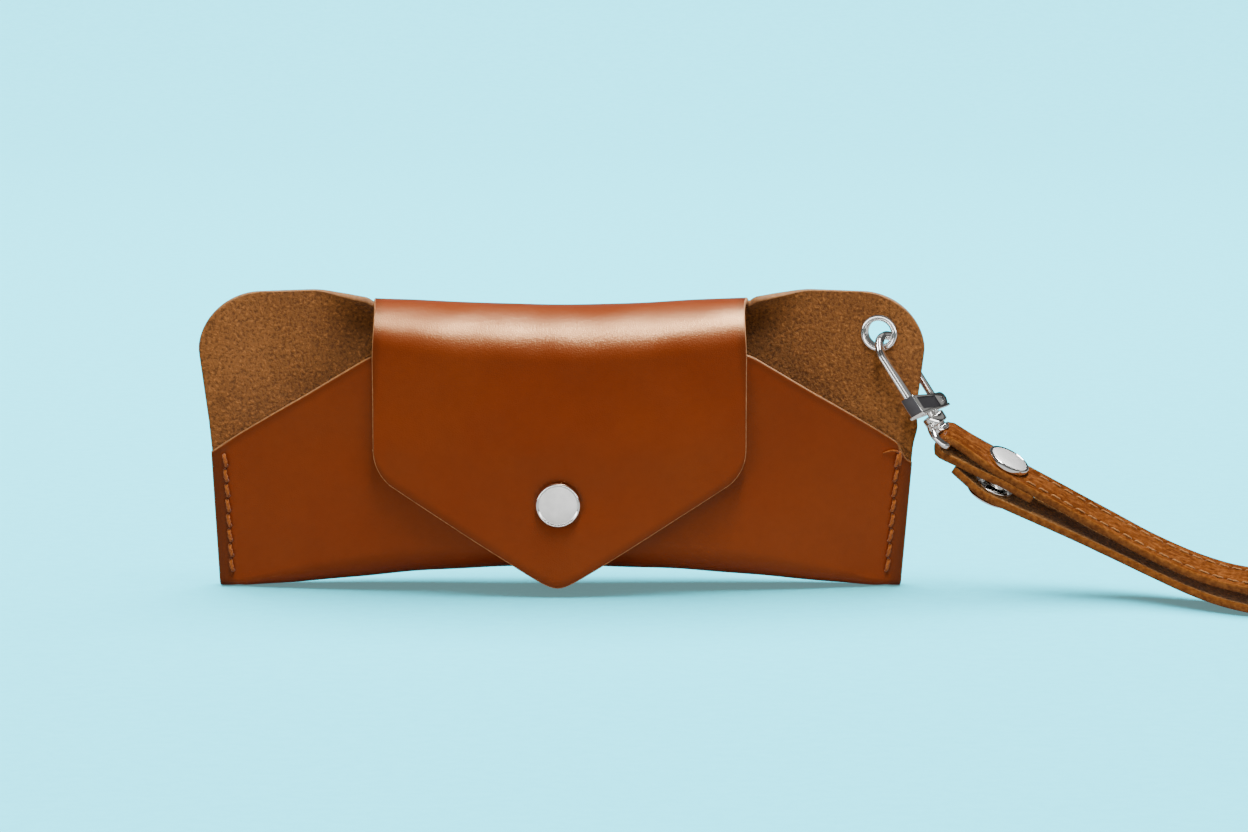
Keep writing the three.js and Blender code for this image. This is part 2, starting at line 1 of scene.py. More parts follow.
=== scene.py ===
"""Soft leather eyeglasses case with a snap flap, a corner eyelet and a wrist strap on a swivel clasp."""

import math

import bmesh
import bpy
import numpy as np
from mathutils import Matrix, Vector


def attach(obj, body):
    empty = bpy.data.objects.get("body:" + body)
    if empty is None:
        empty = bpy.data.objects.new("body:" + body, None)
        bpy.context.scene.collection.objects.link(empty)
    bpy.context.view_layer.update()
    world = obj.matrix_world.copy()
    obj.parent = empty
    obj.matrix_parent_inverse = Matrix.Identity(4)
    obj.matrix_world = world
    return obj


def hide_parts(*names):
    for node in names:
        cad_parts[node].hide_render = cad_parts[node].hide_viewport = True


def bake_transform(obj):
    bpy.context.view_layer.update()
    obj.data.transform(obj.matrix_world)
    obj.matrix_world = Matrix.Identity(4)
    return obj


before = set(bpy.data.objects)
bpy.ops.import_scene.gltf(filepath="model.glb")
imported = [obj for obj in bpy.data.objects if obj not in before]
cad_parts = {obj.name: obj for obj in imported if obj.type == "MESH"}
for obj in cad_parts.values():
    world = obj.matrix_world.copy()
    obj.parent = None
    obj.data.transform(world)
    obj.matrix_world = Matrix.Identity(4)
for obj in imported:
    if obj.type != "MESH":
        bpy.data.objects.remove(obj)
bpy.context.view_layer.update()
FINE = 1.0
RNG = np.random.default_rng(7)

# ---- Dimensions in millimetres; the seam plane lies at y = SEAM_Y ----
SEAM_Y = 1.55
HIDE = 1.6
EDGE_LAYER = 1.0
MARGIN = 5.5
FLAP_HALF = 44.3
BACK_DEPTH = 11.2
FRONT_DEPTH = 7.8
FLAP_DEPTH = 12.3
LOW_BACK = 9.2
EAR_Z = 59.8
EAR_RISE = 10.7
ROOT_Y = 4.7
SHOULDER = 10.5
SNAP_X, SNAP_Z = -0.7, 22.6
STITCH_FIRST, STITCH_PITCH, STITCH_COUNT, STITCH_INSET = 3.4, 3.65, 9, 3.0
BAND = 1.8
COLUMN_SPLIT = 60.0  # the mesh's columns keep their place up to here, and follow the outline beyond
EAR_STEP = 1.1  # how far the back panel rises beside the flap
CUT_BULGE = 0.3  # how far a cut edge stands out at its middle
CUT_ARCS = [math.radians(t) for t in (60, 30, 0, -30, -60)]
WAVE_COUNT = 9


# ---- Numbers ----
def clamp(t, low=0.0, high=1.0):
    return np.clip(t, low, high)


def ease(t):
    t = clamp(t)
    return t * t * (3 - 2 * t)


def mix(a, b, t):
    return a + (b - a) * t


def soft_ramp(t, width):
    """Zero below t = 0 and t above it, with a rounded corner."""
    return width * np.logaddexp(0.0, np.asarray(t, float) / width)


def unit(v):
    v = np.asarray(v, float)
    return v / np.linalg.norm(v, axis=-1, keepdims=True)


# ---- Shape of the pouch ----
def half_at(z):
    return np.where(z <= 33, mix(80.5, 83, z / 33), mix(83, 86, np.minimum(1, (z - 33) / 25)))


def outline_at(z):
    t = clamp((z - EAR_Z + 3.6) / (EAR_RISE + 3.6))
    return half_at(z) - 14.5 * (1 - np.sqrt(np.maximum(0, 1 - t * t)))


def swell(x, z):
    t = np.abs(x) / (half_at(z) - MARGIN)
    t = 1 - soft_ramp(1 - t, 0.016)
    return 1 - np.power(clamp(t), 2.6)


def layer(depth, x, z):
    return EDGE_LAYER + (depth - EDGE_LAYER) * swell(x, z)


def crown_z(x):
    return mix(56.0, 59.8, clamp((x / FLAP_HALF) ** 2))


def bottom_z(x):
    return HIDE / 2 + 4.5 * np.power(np.maximum(0, 1 - (x / 75) ** 2), 1.2)


def back_depth(z):
    return mix(LOW_BACK, BACK_DEPTH, ease((z - 13) / 37))


def front_depth(z):
    return mix(FRONT_DEPTH, 8.6, ease((z - 30) / 26))


def flap_depth(x, z):
    return mix(FLAP_DEPTH, BACK_DEPTH, ease((z - 33) / (crown_z(x) - 33)))


def front_top(x):
    return 57.3 - 23 / 37 * soft_ramp(np.abs(x) - 43.9, 0.8) - 2.6 * ease((x - 79.6) / 2.8)


def root_angle(radius):
    return np.arccos(ROOT_Y / radius)


def columns(n_inner, n_outer):
    """Side, place and share of each column: set places in the middle, shares of the outline beyond them."""
    under_flap = np.linspace(0, FLAP_HALF, int(n_inner * 0.74))
    beside_flap = np.linspace(FLAP_HALF, COLUMN_SPLIT, int(n_inner * 0.26) + 1)[1:]
    inner = np.concatenate([under_flap, beside_flap, np.full(n_outer, COLUMN_SPLIT)])
    outer = np.concatenate([np.zeros(len(inner) - n_outer), np.linspace(0, 1, n_outer + 1)[1:]])
    side = np.ones(len(inner))
    return [np.concatenate([sign * v[:0:-1], v]) for sign, v in ((-1, side), (1, inner), (1, outer))]


def pouch_grid():
    side, inner, outer = columns(int(84 * FINE), int(46 * FINE))

    def column_x(z):
        return side * np.where(outer == 0, inner, COLUMN_SPLIT + outer * (outline_at(z) - COLUMN_SPLIT))

    rows = []

    def add(x, y, z):
        rows.append(np.stack([x, y + SEAM_Y, z], axis=-1))

    x_low = column_x(np.full(len(side), 10.0))
    fold = (layer(FRONT_DEPTH, x_low, 10) + layer(LOW_BACK, x_low, 10)) / 2
    start = bottom_z(x_low) + fold
    top = front_top(column_x(np.full(len(side), 36.0)))
    n = int(46 * FINE)
    for i in range(n):
        z = mix(top, start, i / n)
        x = column_x(z)
        add(x, -layer(front_depth(z), x, z), z)
    n = int(34 * FINE)
    for i in range(n + 1):
        a = math.radians(-90 + 180 * i / n)
        x = column_x(np.full(len(side), 3.0))
        front, back = layer(FRONT_DEPTH, x, 10), layer(LOW_BACK, x, 10)
        radius = (front + back) / 2
        z = bottom_z(x) + radius * (1 - math.cos(a))
        add(column_x(z), (back - front) / 2 + radius * math.sin(a), z)
    n = int(44 * FINE)
    for i in range(1, n + 1):
        z = mix(start, crown_z(x_low), i / n)
        x = column_x(z)
        add(x, layer(back_depth(z), x, z), z)
    n = int(34 * FINE)
    x_ear = column_x(np.full(len(side), EAR_Z))
    away = np.abs(x_ear)
    radius = layer(BACK_DEPTH, np.minimum(away, FLAP_HALF), EAR_Z)
    full = root_angle(radius)
    fade = ease((away - FLAP_HALF) / (COLUMN_SPLIT - FLAP_HALF))
    turn = np.maximum(0.001, full * (1 - fade))
    length = mix(radius * full, EAR_RISE, fade)
    length = length + EAR_STEP * ease((away - FLAP_HALF - 0.2) / 2.0) * (1 - ease((away - 46) / 9))
    r = length / turn
    for i in range(1, n + 1):
        a = turn * math.sin(math.radians(90 * i / n))
        z = crown_z(x_ear) + r * np.sin(a)
        x = column_x(z)
        add(x, layer(BACK_DEPTH, x, z) - r * (1 - np.cos(a)), z)
    return np.array(rows)


def flap_edge_z(x):
    a = np.abs(x)
    slanted = 0.8 + 0.642 * np.sqrt(a * a + 6.5)
    middle = FLAP_HALF - SHOULDER
    shoulder = 29.24 + 0.5464 * SHOULDER - np.sqrt(np.maximum(0, SHOULDER**2 - (a - middle) ** 2))
    return np.where(a > middle + 0.54 * SHOULDER, np.maximum(slanted, shoulder), slanted)


def flap_grid():
    t = np.linspace(0, 1, int(80 * FINE))
    x = FLAP_HALF * (1 - np.power(1 - t, 1.7))
    x = np.concatenate([-x[:0:-1], x])
    rows = []
    radius = layer(BACK_DEPTH, x, EAR_Z)
    start = root_angle(radius)
    n = int(56 * FINE)
    for i in range(n + 1):
        a = mix(start, math.pi, i / n)
        rows.append(np.stack([x, radius * np.cos(a) + SEAM_Y, crown_z(x) + radius * np.sin(a)], axis=-1))
    n = int(74 * FINE)
    for i in range(1, n + 1):
        z = mix(crown_z(x), flap_edge_z(x), i / n)
        rows.append(np.stack([x, -layer(flap_depth(x, z), x, EAR_Z) + SEAM_Y, z], axis=-1))
    return np.array(rows)


# ---- Mesh building ----
def new_object(name, points_mm, faces, materials, slots=None, attributes=None):
    mesh = bpy.data.meshes.new(name)
    mesh.from_pydata((np.asarray(points_mm) * 0.001).tolist(), [], [list(map(int, f)) for f in faces])
    for material in materials:
        mesh.materials.append(material)
    if slots is not None:
        mesh.polygons.foreach_set("material_index", np.asarray(slots, np.int32))
    mesh.polygons.foreach_set("use_smooth", np.ones(len(mesh.polygons), bool))
    for key, values in (attributes or {}).items():
        mesh.attributes.new(key, "FLOAT", "POINT").data.foreach_set("value", np.asarray(values, np.float32))
    mesh.update()
    obj = bpy.data.objects.new(name, mesh)
    bpy.context.scene.collection.objects.link(obj)
    return obj


def waves(points, size, seed):
    """A smooth random field of unit strength over points, with features of about the given size."""
    rng = np.random.default_rng(seed)
    total = np.zeros(points.shape[:-1])
    for _ in range(WAVE_COUNT):
        direction = unit(rng.normal(size=3)) * (2 * math.pi / size) * rng.uniform(0.6, 1.5)
        total += np.sin(points @ direction + rng.uniform(0, 2 * math.pi))
    return total / math.sqrt(WAVE_COUNT)


def grid_normals(grid):
    along = np.gradient(grid, axis=0)
    across = np.gradient(grid, axis=1)
    return unit(np.cross(along, across))


def rim_distance(grid, open_rim):
    """Rough distance of each grid point from the cut edges, in millimetres."""
    rows, cols = grid.shape[:2]
    step_r = np.linalg.norm(np.diff(grid, axis=0), axis=-1)
    step_c = np.linalg.norm(np.diff(grid, axis=1), axis=-1)
    down = np.concatenate([np.zeros((1, cols)), np.cumsum(step_r, axis=0)])
    right = np.concatenate([np.zeros((rows, 1)), np.cumsum(step_c, axis=1)], axis=1)
    edges = ((down, 0), (down[-1:] - down, -1), (right, 0), (right[:, -1:] - right, 0))
    near = np.full((rows, cols), 99.0)
    for use, (distance, row) in zip(open_rim, edges):
        if use is True:
            near = np.minimum(near, distance)
        elif use is not False:
            near = np.minimum(near, np.where(use(grid[row][:, 0])[None, :], distance, 99.0))
    return near


def root_rim(mid):
    """Where the rim is the join of flap and back panel, which has no cut edge."""
    return (np.abs(mid[:, 0]) < FLAP_HALF - 0.2) & (mid[:, 1] > SEAM_Y + 3) & (mid[:, 2] > 60)


def hide_sheet(name, grid, materials, dark, open_rim):
    """A sheet of leather on a grid of middle points: grain side, flesh side and a rounded cut edge."""
    rows, cols = grid.shape[:2]
    normal = grid_normals(grid)
    points = [(grid + normal * HIDE / 2).reshape(-1, 3), (grid - normal * HIDE / 2).reshape(-1, 3)]
    count = rows * cols
    index = np.arange(count).reshape(rows, cols)
    a, b, c, d = index[:-1, :-1], index[:-1, 1:], index[1:, 1:], index[1:, :-1]
    quads = np.stack([a, d, c, b], axis=-1).reshape(-1, 4)
    faces = [quads, quads[:, ::-1] + count]
    slots = [np.zeros(len(quads), int), np.ones(len(quads), int)]
    rim = np.concatenate([index[0, :-1], index[:-1, -1], index[-1, :0:-1], index[:0:-1, 0]])
    inside = np.concatenate([index[1, :-1], index[:-1, -2], index[-2, :0:-1], index[:0:-1, 1]])
    middle = grid.reshape(-1, 3)
    mid = middle[rim]
    n = normal.reshape(-1, 3)[rim]
    out = unit(np.cross(unit(np.roll(mid, -1, axis=0) - np.roll(mid, 1, axis=0)), n))
    flip = np.sign((out * (middle[inside] - mid)).sum(-1))
    out = out * np.where(flip == 0, 1, -flip)[:, None]
    bulge = np.where(root_rim(mid), 0.0, CUT_BULGE)
    ring = [rim]
    for k, arc in enumerate(CUT_ARCS):
        points.append(mid + n * (HIDE / 2 * math.sin(arc)) + out * (bulge * math.cos(arc))[:, None])
        ring.append(2 * count + k * len(rim) + np.arange(len(rim)))
    ring.append(rim + count)
    for p, q in zip(ring, ring[1:]):
        faces.append(np.stack([p, np.roll(p, -1), np.roll(q, -1), q], axis=-1))
        slots.append(np.full(len(rim), 2))
    on_cut = np.zeros(len(CUT_ARCS) * len(rim))
    attributes = {}
    for key, field in (("rim", rim_distance(grid, open_rim)), ("dark", dark)):
        attributes[key] = np.concatenate([field.reshape(-1), field.reshape(-1), on_cut])
    slots = np.concatenate(slots)
    return new_object(name, np.concatenate(points), np.concatenate(faces), materials, slots, attributes)


def sweep(path, section, up):
    """Points and faces of a section carried along a path. section(share) gives (side, up) offsets."""
    path = np.asarray(path, float)
    n = len(path)
    tangent = unit(np.gradient(path, axis=0))
    up = np.broadcast_to(np.asarray(up, float), path.shape)
    side = unit(np.cross(up, tangent))
    lift = np.cross(tangent, side)
    rings = []
    for i in range(n):
        s = np.asarray(section(i / max(1, n - 1)), float)
        rings.append(path[i] + s[:, :1] * side[i] + s[:, 1:] * lift[i])
    m = len(rings[0])
    faces = []
    for i in range(n - 1):
        for k in range(m):
            k2 = (k + 1) % m
            faces.append((i * m + k, i * m + k2, (i + 1) * m + k2, (i + 1) * m + k))
    faces.append(tuple(range(m))[::-1])
    faces.append(tuple((n - 1) * m + k for k in range(m)))
    return np.concatenate(rings), faces


def joined(parts):
    points, faces, base = [], [], 0
    for p, f in parts:
        points.append(np.asarray(p))
        faces += [tuple(base + v for v in face) for face in f]
        base += len(p)
    return np.concatenate(points), faces


def round_section(radius, sides):
    a = np.linspace(0, 2 * math.pi, sides, endpoint=False)
    return np.stack([radius * np.cos(a), radius * np.sin(a)], axis=-1)


def squared_section(half_side, half_up, power=3.2, sides=28):
    a = np.linspace(0, 2 * math.pi, sides, endpoint=False)
    c, s = np.cos(a), np.sin(a)
    return np.stack(
        [half_side * np.sign(c) * np.abs(c) ** (2 / power), half_up * np.sign(s) * np.abs(s) ** (2 / power)],
        axis=-1,
    )


def smooth_path(points, per_piece):
    """A Catmull-Rom curve through the points."""
    p = np.asarray(points, float)
    p = np.concatenate([[2 * p[0] - p[1]], p, [2 * p[-1] - p[-2]]])
    out = []
    for a, b, c, d in zip(p, p[1:], p[2:], p[3:]):
        square, cube = 2 * a - 5 * b + 4 * c - d, 3 * b - a - 3 * c + d
        for k in range(per_piece):
            t = k / per_piece
            out.append(0.5 * (2 * b + (c - a) * t + square * t * t + cube * t**3))
    out.append(p[-2])
    return np.array(out)


def travel(path, start=0.0):
    """The distance along a path at each of its points."""
    return start + np.concatenate([[0], np.cumsum(np.linalg.norm(np.diff(path, axis=0), axis=1))])


def resample(path, step):
    s = travel(path)
    t = np.linspace(0, s[-1], max(2, int(round(s[-1] / step)) + 1))
    return np.stack([np.interp(t, s, path[:, k]) for k in range(path.shape[1])], axis=-1)


def turned(profile, origin, axis, sides=72, rounding=0.06):
    """Points and faces of a turned solid. profile holds (radius, height) points, open or a closed ring."""
    z = unit(axis)
    x = unit(np.cross([0, 0, 1.0] if abs(z[2]) < 0.9 else [1.0, 0, 0], z))
    y = np.cross(z, x)
    prof = []
    p = [np.array(q, float) for q in profile]
    ring = profile[0][0] > 1e-6
    n = len(p)
    for i in range(n):
        if not ring and i in (0, n - 1):
            prof.append(p[i])
            continue
        before, here, after = p[i - 1], p[i], p[(i + 1) % n]
        for toward, share in ((before, 1), (after, 1)):
            gap = np.linalg.norm(toward - here)
            prof.append(here + (toward - here) * min(0.4, rounding / max(gap, 1e-6)))
    points, faces, index = [], [], []
    a = np.linspace(0, 2 * math.pi, sides, endpoint=False)
    for r, h in prof:
        if r < 1e-6:
            index.append([len(points)] * sides)
            points.append(np.asarray(origin) + h * z)
        else:
            index.append(list(range(len(points), len(points) + sides)))
            for t in a:
                points.append(np.asarray(origin) + r * math.cos(t) * x + r * math.sin(t) * y + h * z)
    last = len(prof) if ring else len(prof) - 1
    for i in range(last):
        p0, p1 = index[i], index[(i + 1) % len(prof)]
        for k in range(sides):
            k2 = (k + 1) % sides
            face = []
            for v in (p0[k], p0[k2], p1[k2], p1[k]):
                if v not in face:
                    face.append(v)
            if len(face) > 2:
                faces.append(tuple(face))
    return np.array(points), faces


def drill(radius, low, high, origin, axis, sides=32):
    """A plain cylinder to cut a hole with."""
    return turned([[0, low], [radius, low], [radius, high], [0, high]], origin, axis, sides, 0.001)


def recalculated(obj):
    bm = bmesh.new()
    bm.from_mesh(obj.data)
    bmesh.ops.recalc_face_normals(bm, faces=bm.faces)
    bm.to_mesh(obj.data)
    bm.free()
    return obj


def metal_piece(name, parts, material, split_angle=34):
    points, faces = joined(parts)
    obj = recalculated(new_object(name, points, faces, [material]))
    edges_by_angle(obj, split_angle)
    return obj


def edges_by_angle(obj, angle):
    mesh = obj.data
    bm = bmesh.new()
    bm.from_mesh(mesh)
    limit = math.radians(angle)
    for edge in bm.edges:
        edge.smooth = len(edge.link_faces) != 2 or edge.calc_face_angle(0) < limit
    bm.to_mesh(mesh)
    bm.free()


def cut(obj, *cutters):
    """Cuts closed shapes, given as (points, faces), out of a piece."""
    for points, faces in cutters:
        tool = recalculated(new_object("tool", points, faces, list(obj.data.materials)))
        modifier = obj.modifiers.new("cut", "BOOLEAN")
        modifier.operation = "DIFFERENCE"
        modifier.solver = "EXACT"
        modifier.object = tool
        dg = bpy.context.evaluated_depsgraph_get()
        made = bpy.data.meshes.new_from_object(obj.evaluated_get(dg))
        obj.modifiers.clear()
        old = obj.data
        obj.data = made
        bpy.data.meshes.remove(old)
        bpy.data.objects.remove(tool)
    return obj


# ---- Materials ----
class Paint:
    """A small helper for one material's nodes."""

    def __init__(self, name):
        self.material = bpy.data.materials.new(name)
        self.material.use_nodes = True
        self.tree = self.material.node_tree
        self.tree.nodes.clear()
        self.shader = self.node("ShaderNodeBsdfPrincipled")
        self.link(self.shader.outputs[0], self.node("ShaderNodeOutputMaterial").inputs["Surface"])
        self.place = self.node("ShaderNodeTexCoord").outputs["Object"]

    def node(self, kind, **settings):
        made = self.tree.nodes.new(kind)
        for key, value in settings.items():
            setattr(made, key, value)
        return made

    def link(self, a, b):
        self.tree.links.new(a, b)

    def feed(self, socket, value):
        if hasattr(value, "node"):
            self.link(value, socket)
        else:
            socket.default_value = value

    def stretched(self, place, scale):
        made = self.node("ShaderNodeMapping")
        made.inputs["Scale"].default_value = scale
        self.link(place, made.inputs["Vector"])
        return made.outputs[0]

    def noise(self, scale, detail=4.0, rough=0.55, at=None, distortion=0.0):
        made = self.node("ShaderNodeTexNoise")
        self.link(at or self.place, made.inputs["Vector"])
        made.inputs["Scale"].default_value = scale
        made.inputs["Detail"].default_value = detail
        made.inputs["Roughness"].default_value = rough
        made.inputs["Distortion"].default_value = distortion
        return made.outputs[0]

    def cells(self, scale, feature="F1"):
        made = self.node("ShaderNodeTexVoronoi", feature=feature)
        self.link(self.place, made.inputs["Vector"])
        made.inputs["Scale"].default_value = scale
        return made.outputs["Distance"]

    def attribute(self, name):
        return self.node("ShaderNodeAttribute", attribute_name=name).outputs["Fac"]

    def math(self, operation, a, b):
        made = self.node("ShaderNodeMath", operation=operation)
        self.feed(made.inputs[0], a)
        self.feed(made.inputs[1], b)
        return made.outputs[0]

    def spread(self, value, low, high, out_low=0.0, out_high=1.0):
        made = self.node("ShaderNodeMapRange", clamp=True, interpolation_type="SMOOTHSTEP")
        for socket, number in zip(made.inputs[:5], (value, low, high, out_low, out_high)):
            self.feed(socket, number)
        return made.outputs[0]

    def blend(self, share, a, b):
        made = self.node("ShaderNodeMix", data_type="RGBA")
        self.feed(made.inputs[0], share)
        self.feed(made.inputs[6], (*a, 1.0) if isinstance(a, tuple) else a)
        self.feed(made.inputs[7], (*b, 1.0) if isinstance(b, tuple) else b)
        return made.outputs[2]

    def bump(self, height, distance, strength=1.0, after=None):
        made = self.node("ShaderNodeBump")
        made.inputs["Strength"].default_value = strength
        made.inputs["Distance"].default_value = distance
        self.link(height, made.inputs["Height"])
        if after is not None:
            self.link(after, made.inputs["Normal"])
        return made.outputs[0]

    def finish(self, color, rough, normal=None, metal=0.0, **uniform):
        self.feed(self.shader.inputs["Base Color"], (*color, 1.0) if isinstance(color, tuple) else color)
        self.feed(self.shader.inputs["Roughness"], rough)
        self.shader.inputs["Metallic"].default_value = metal
        if normal is not None:
            self.link(normal, self.shader.inputs["Normal"])
        for key, value in uniform.items():
            self.shader.inputs[key].default_value = value
        return self.material


def shade(color, share):
    return tuple(c * share for c in color)


def grain_leather(name, deep, warm):
    p = Paint(name)
    broad = p.noise(28, 3, 0.5)
    fine = p.noise(420, 4, 0.6)
    color = p.blend(p.spread(broad, 0.35, 0.68), deep, warm)
    color = p.blend(p.spread(fine, 0.3, 0.75, 0.0, 0.14), color, shade(deep, 0.62))
    rim = p.spread(p.attribute("rim"), 0.2, 2.6)
    color = p.blend(p.math("MULTIPLY", p.math("SUBTRACT", 1.0, rim), 0.55), color, shade(deep, 0.45))
    # Painted shade from the dark attribute: in stitch holes and round the snap cap, and on the seam margin partly
    # burnish.
    color = p.blend(p.attribute("dark"), color, shade(deep, 0.22))
    creases = p.cells(1900, "DISTANCE_TO_EDGE")
    pores = p.cells(3300)
    tilt = p.bump(p.spread(creases, 0.0, 0.25), 0.00003, 0.55)
    tilt = p.bump(pores, 0.00002, 0.4, tilt)
    roughness = p.spread(p.noise(90, 4, 0.6), 0.3, 0.7, 0.315, 0.355)
    shine = {"Specular IOR Level": 0.55, "Specular Tint": (1.0, 0.66, 0.38, 1.0)}
    return p.finish(color, roughness, tilt, **shine)


def suede(name, light, dark_color):
    p = Paint(name)
    broad = p.noise(45, 3, 0.5)
    pebbles = p.noise(1450, 2, 0.55, distortion=0.4)
    nap = p.noise(3200, 3, 0.7)
    color = p.blend(p.spread(broad, 0.35, 0.65, 0.25, 0.75), dark_color, light)
    # Lighter pebble tops and darker hollows between them: painted highlight and shade on the relief that the bump
    # gives.
    color = p.blend(p.spread(pebbles, 0.50, 0.36, 0.0, 0.6), color, shade(dark_color, 0.42))
    color = p.blend(p.spread(pebbles, 0.56, 0.72, 0.0, 0.6), color, shade(light, 1.75))
    color = p.blend(p.spread(nap, 0.5, 0.75, 0.0, 0.3), color, shade(light, 1.4))
    tilt = p.bump(pebbles, 0.0004, 0.8)
    tilt = p.bump(nap, 0.00015, 0.6, tilt)
    return p.finish(color, 0.92, tilt, **{"Sheen Weight": 0.08, "Sheen Roughness": 0.5, "Specular IOR Level": 0.12})


def raw_edge(name, light, dark_color):
    p = Paint(name)
    fibres = p.noise(900, 5, 0.7)
    color = p.blend(p.spread(fibres, 0.32, 0.7), dark_color, light)
    tilt = p.bump(fibres, 0.0002, 0.7)
    return p.finish(color, 0.8, tilt, **{"Specular IOR Level": 0.25})


def waxed_leather(name):
    p = Paint(name)
    combined = p.node("ShaderNodeCombineXYZ")
    p.link(p.attribute("along"), combined.inputs[0])
    p.link(p.attribute("across"), combined.inputs[1])
    streaks = p.noise(2.6, 6, 0.7, at=p.stretched(combined.outputs[0], (0.09, 0.5, 1.0)), distortion=0.8)
    broad = p.noise(60, 4, 0.6)
    color = p.blend(p.spread(broad, 0.35, 0.65), (0.082, 0.0200, 0.0034), (0.130, 0.036, 0.0068))
    color = p.blend(p.spread(streaks, 0.49, 0.64, 0.0, 0.75), color, (0.21, 0.074, 0.019))
    color = p.blend(p.spread(streaks, 0.47, 0.34, 0.0, 0.8), color, (0.042, 0.0095, 0.0015))
    mottle = p.noise(900, 4, 0.7)
    color = p.blend(p.spread(mottle, 0.52, 0.66, 0.0, 0.7), color, (0.045, 0.0105, 0.002))
    color = p.blend(p.spread(mottle, 0.46, 0.34, 0.0, 0.55), color, (0.26, 0.090, 0.020))
    # Painted shade in the stitch holes, from the dark attribute.
    color = p.blend(p.attribute("dark"), color, (0.02, 0.006, 0.002))
    tilt = p.bump(p.cells(1700, "DISTANCE_TO_EDGE"), 0.00006, 0.7)
    tilt = p.bump(p.noise(240, 5, 0.65), 0.00035, 0.6, tilt)
    rough = p.spread(streaks, 0.35, 0.7, 0.42, 0.66)
    return p.finish(color, rough, tilt, **{"Specular IOR Level": 0.09, "Specular Tint": (1.0, 0.8, 0.6, 1.0)})


def metal(name, color, rough, scratch=0.00001, grain=2600):
    p = Paint(name)
    haze = p.noise(grain, 4, 0.6)
    broad = p.noise(260, 4, 0.6)
    tint = p.blend(p.spread(broad, 0.3, 0.7), color, shade(color, 0.87))
    tilt = p.bump(haze, scratch, 0.5)
    roughness = p.spread(broad, 0.3, 0.75, rough, rough + 0.07)
    return p.finish(tint, roughness, tilt, metal=1.0)


def thread_paint(name, light, deep):
    p = Paint(name)
    fuzz = p.noise(2400, 4, 0.65)
    color = p.blend(p.spread(fuzz, 0.3, 0.7), deep, light)
    # Painted shade from the dark attribute; the stitch meshes carry none, so it adds nothing here.
    color = p.blend(p.attribute("dark"), color, shade(deep, 0.3))
    return p.finish(color, 0.62, p.bump(fuzz, 0.00006, 0.7), **{"Sheen Weight": 0.15, "Specular IOR Level": 0.35})


HIDE_GRAIN = grain_leather("hide grain", (0.172, 0.0215, 0.0012), (0.186, 0.0265, 0.0020))
HIDE_FLESH = suede("hide flesh", (0.27, 0.100, 0.023), (0.155, 0.052, 0.011))
HIDE_EDGE = raw_edge("hide edge", (0.27, 0.105, 0.022), (0.15, 0.050, 0.009))
FLAP_EDGE = raw_edge("flap edge", (0.50, 0.22, 0.085), (0.30, 0.115, 0.035))
STRAP_GRAIN = waxed_leather("strap grain")
# The strap's flesh colours are raised as painted light: they stand in for light reaching the gap between the
# strap's runs.
STRAP_FLESH = suede("strap flesh", (0.44, 0.20, 0.055), (0.21, 0.085, 0.020))
STRAP_EDGE = raw_edge("strap edge", (0.25, 0.088, 0.018), (0.12, 0.034, 0.006))
NICKEL = metal("polished nickel", (0.93, 0.92, 0.90), 0.06, 0.0000012)
SATIN = metal("satin nickel", (0.95, 0.94, 0.92), 0.46, 0.000025, 3800)
# Dark nickel that paints shade and dark reflections on the clasp.
PAINTED_SHADE_NICKEL = metal("shaded nickel", (0.13, 0.125, 0.135), 0.42, 0.00003, 3400)
SEAM_THREAD = thread_paint("seam thread", (0.36, 0.10, 0.011), (0.18, 0.042, 0.004))
PALE_THREAD = thread_paint("strap thread", (0.36, 0.165, 0.055), (0.20, 0.078, 0.022))

# ---- Camera ----
ELEVATION = math.radians(11.0)
camera_data = bpy.data.cameras.new("camera")
camera_data.lens = 100
camera_data.sensor_width = 36
camera_data.clip_start = 0.01
camera_data.clip_end = 20
camera = bpy.data.objects.new("camera", camera_data)
bpy.context.scene.collection.objects.link(camera)
AIM = Vector((0.0148, SEAM_Y * 0.001, 0.04126))
camera.location = AIM + Vector((0, -math.cos(ELEVATION), math.sin(ELEVATION))) * 0.825
camera.rotation_euler = (math.pi / 2 - ELEVATION, 0, 0)
bpy.context.scene.camera = camera

# ---- Wrist strap ----
PLAN = math.radians(12)
UP = np.array([0, 0, 1.0])
ALONG = np.array([math.cos(PLAN), -math.sin(PLAN), 0])
ACROSS = np.array([math.sin(PLAN), math.cos(PLAN), 0])
BAR_AT = np.array([92.102, 0.540, 35.280])
FOLD_R = 2.05
TAIL_LEVEL = 6.7
SNAP_S, SNAP_LEVEL = 13.7, 30.6
NEXT_S, NEXT_LEVEL = 25, 24.9
# The strap leans towards the viewer, and its middle drops a little with that lean.
LEAN = math.radians(10)
DROP = 1.0
DROPPED = ((SNAP_S, SNAP_LEVEL), (NEXT_S, NEXT_LEVEL), (36.7, 18.9), (49, 13.5), (61.3, 9.7), (73, 8.2))
OUTER_RUN = [[s, z - DROP] for s, z in DROPPED]
OUTER_RUN += [[90, 7.4], [108, 7.6], [124, 9.4], [138, 12.4]]
FAR_BEND = [[147, 13.9], [154, 14.1], [159.5, 11.8], [161.8, 7.8], [160.3, 3.8], [155.5, 1.3], [149, 0.9]]
LOWER_RUN = [[136, 0.9], [110, 0.9], [84, 0.9], [71, 1.9], [60, 4.0], [49, 7.5], [36.7, 12.2], [24, 18.1]]
HOLD = math.atan2(SNAP_LEVEL - (BAR_AT[2] + FOLD_R * 0.88), SNAP_S - FOLD_R * 0.45)
for back, closer in ((0, 0), (5, 0.35), (10.5, 1.5)):
    level = TAIL_LEVEL - closer
    place = SNAP_S + level * math.sin(HOLD) - back * math.cos(HOLD)
    LOWER_RUN.append([place, SNAP_LEVEL - DROP - level * math.cos(HOLD) - back * math.sin(HOLD)])
SHIFT = np.array([math.sin(HOLD), -math.cos(HOLD)]) * (BAND + 0.04)


def sideways(s):
    """The strap swings towards the viewer along its middle and comes back."""
    return -10.5 * ease((np.asarray(s) - 34) / 46) * (1 - ease((np.asarray(s) - 84) / 56))


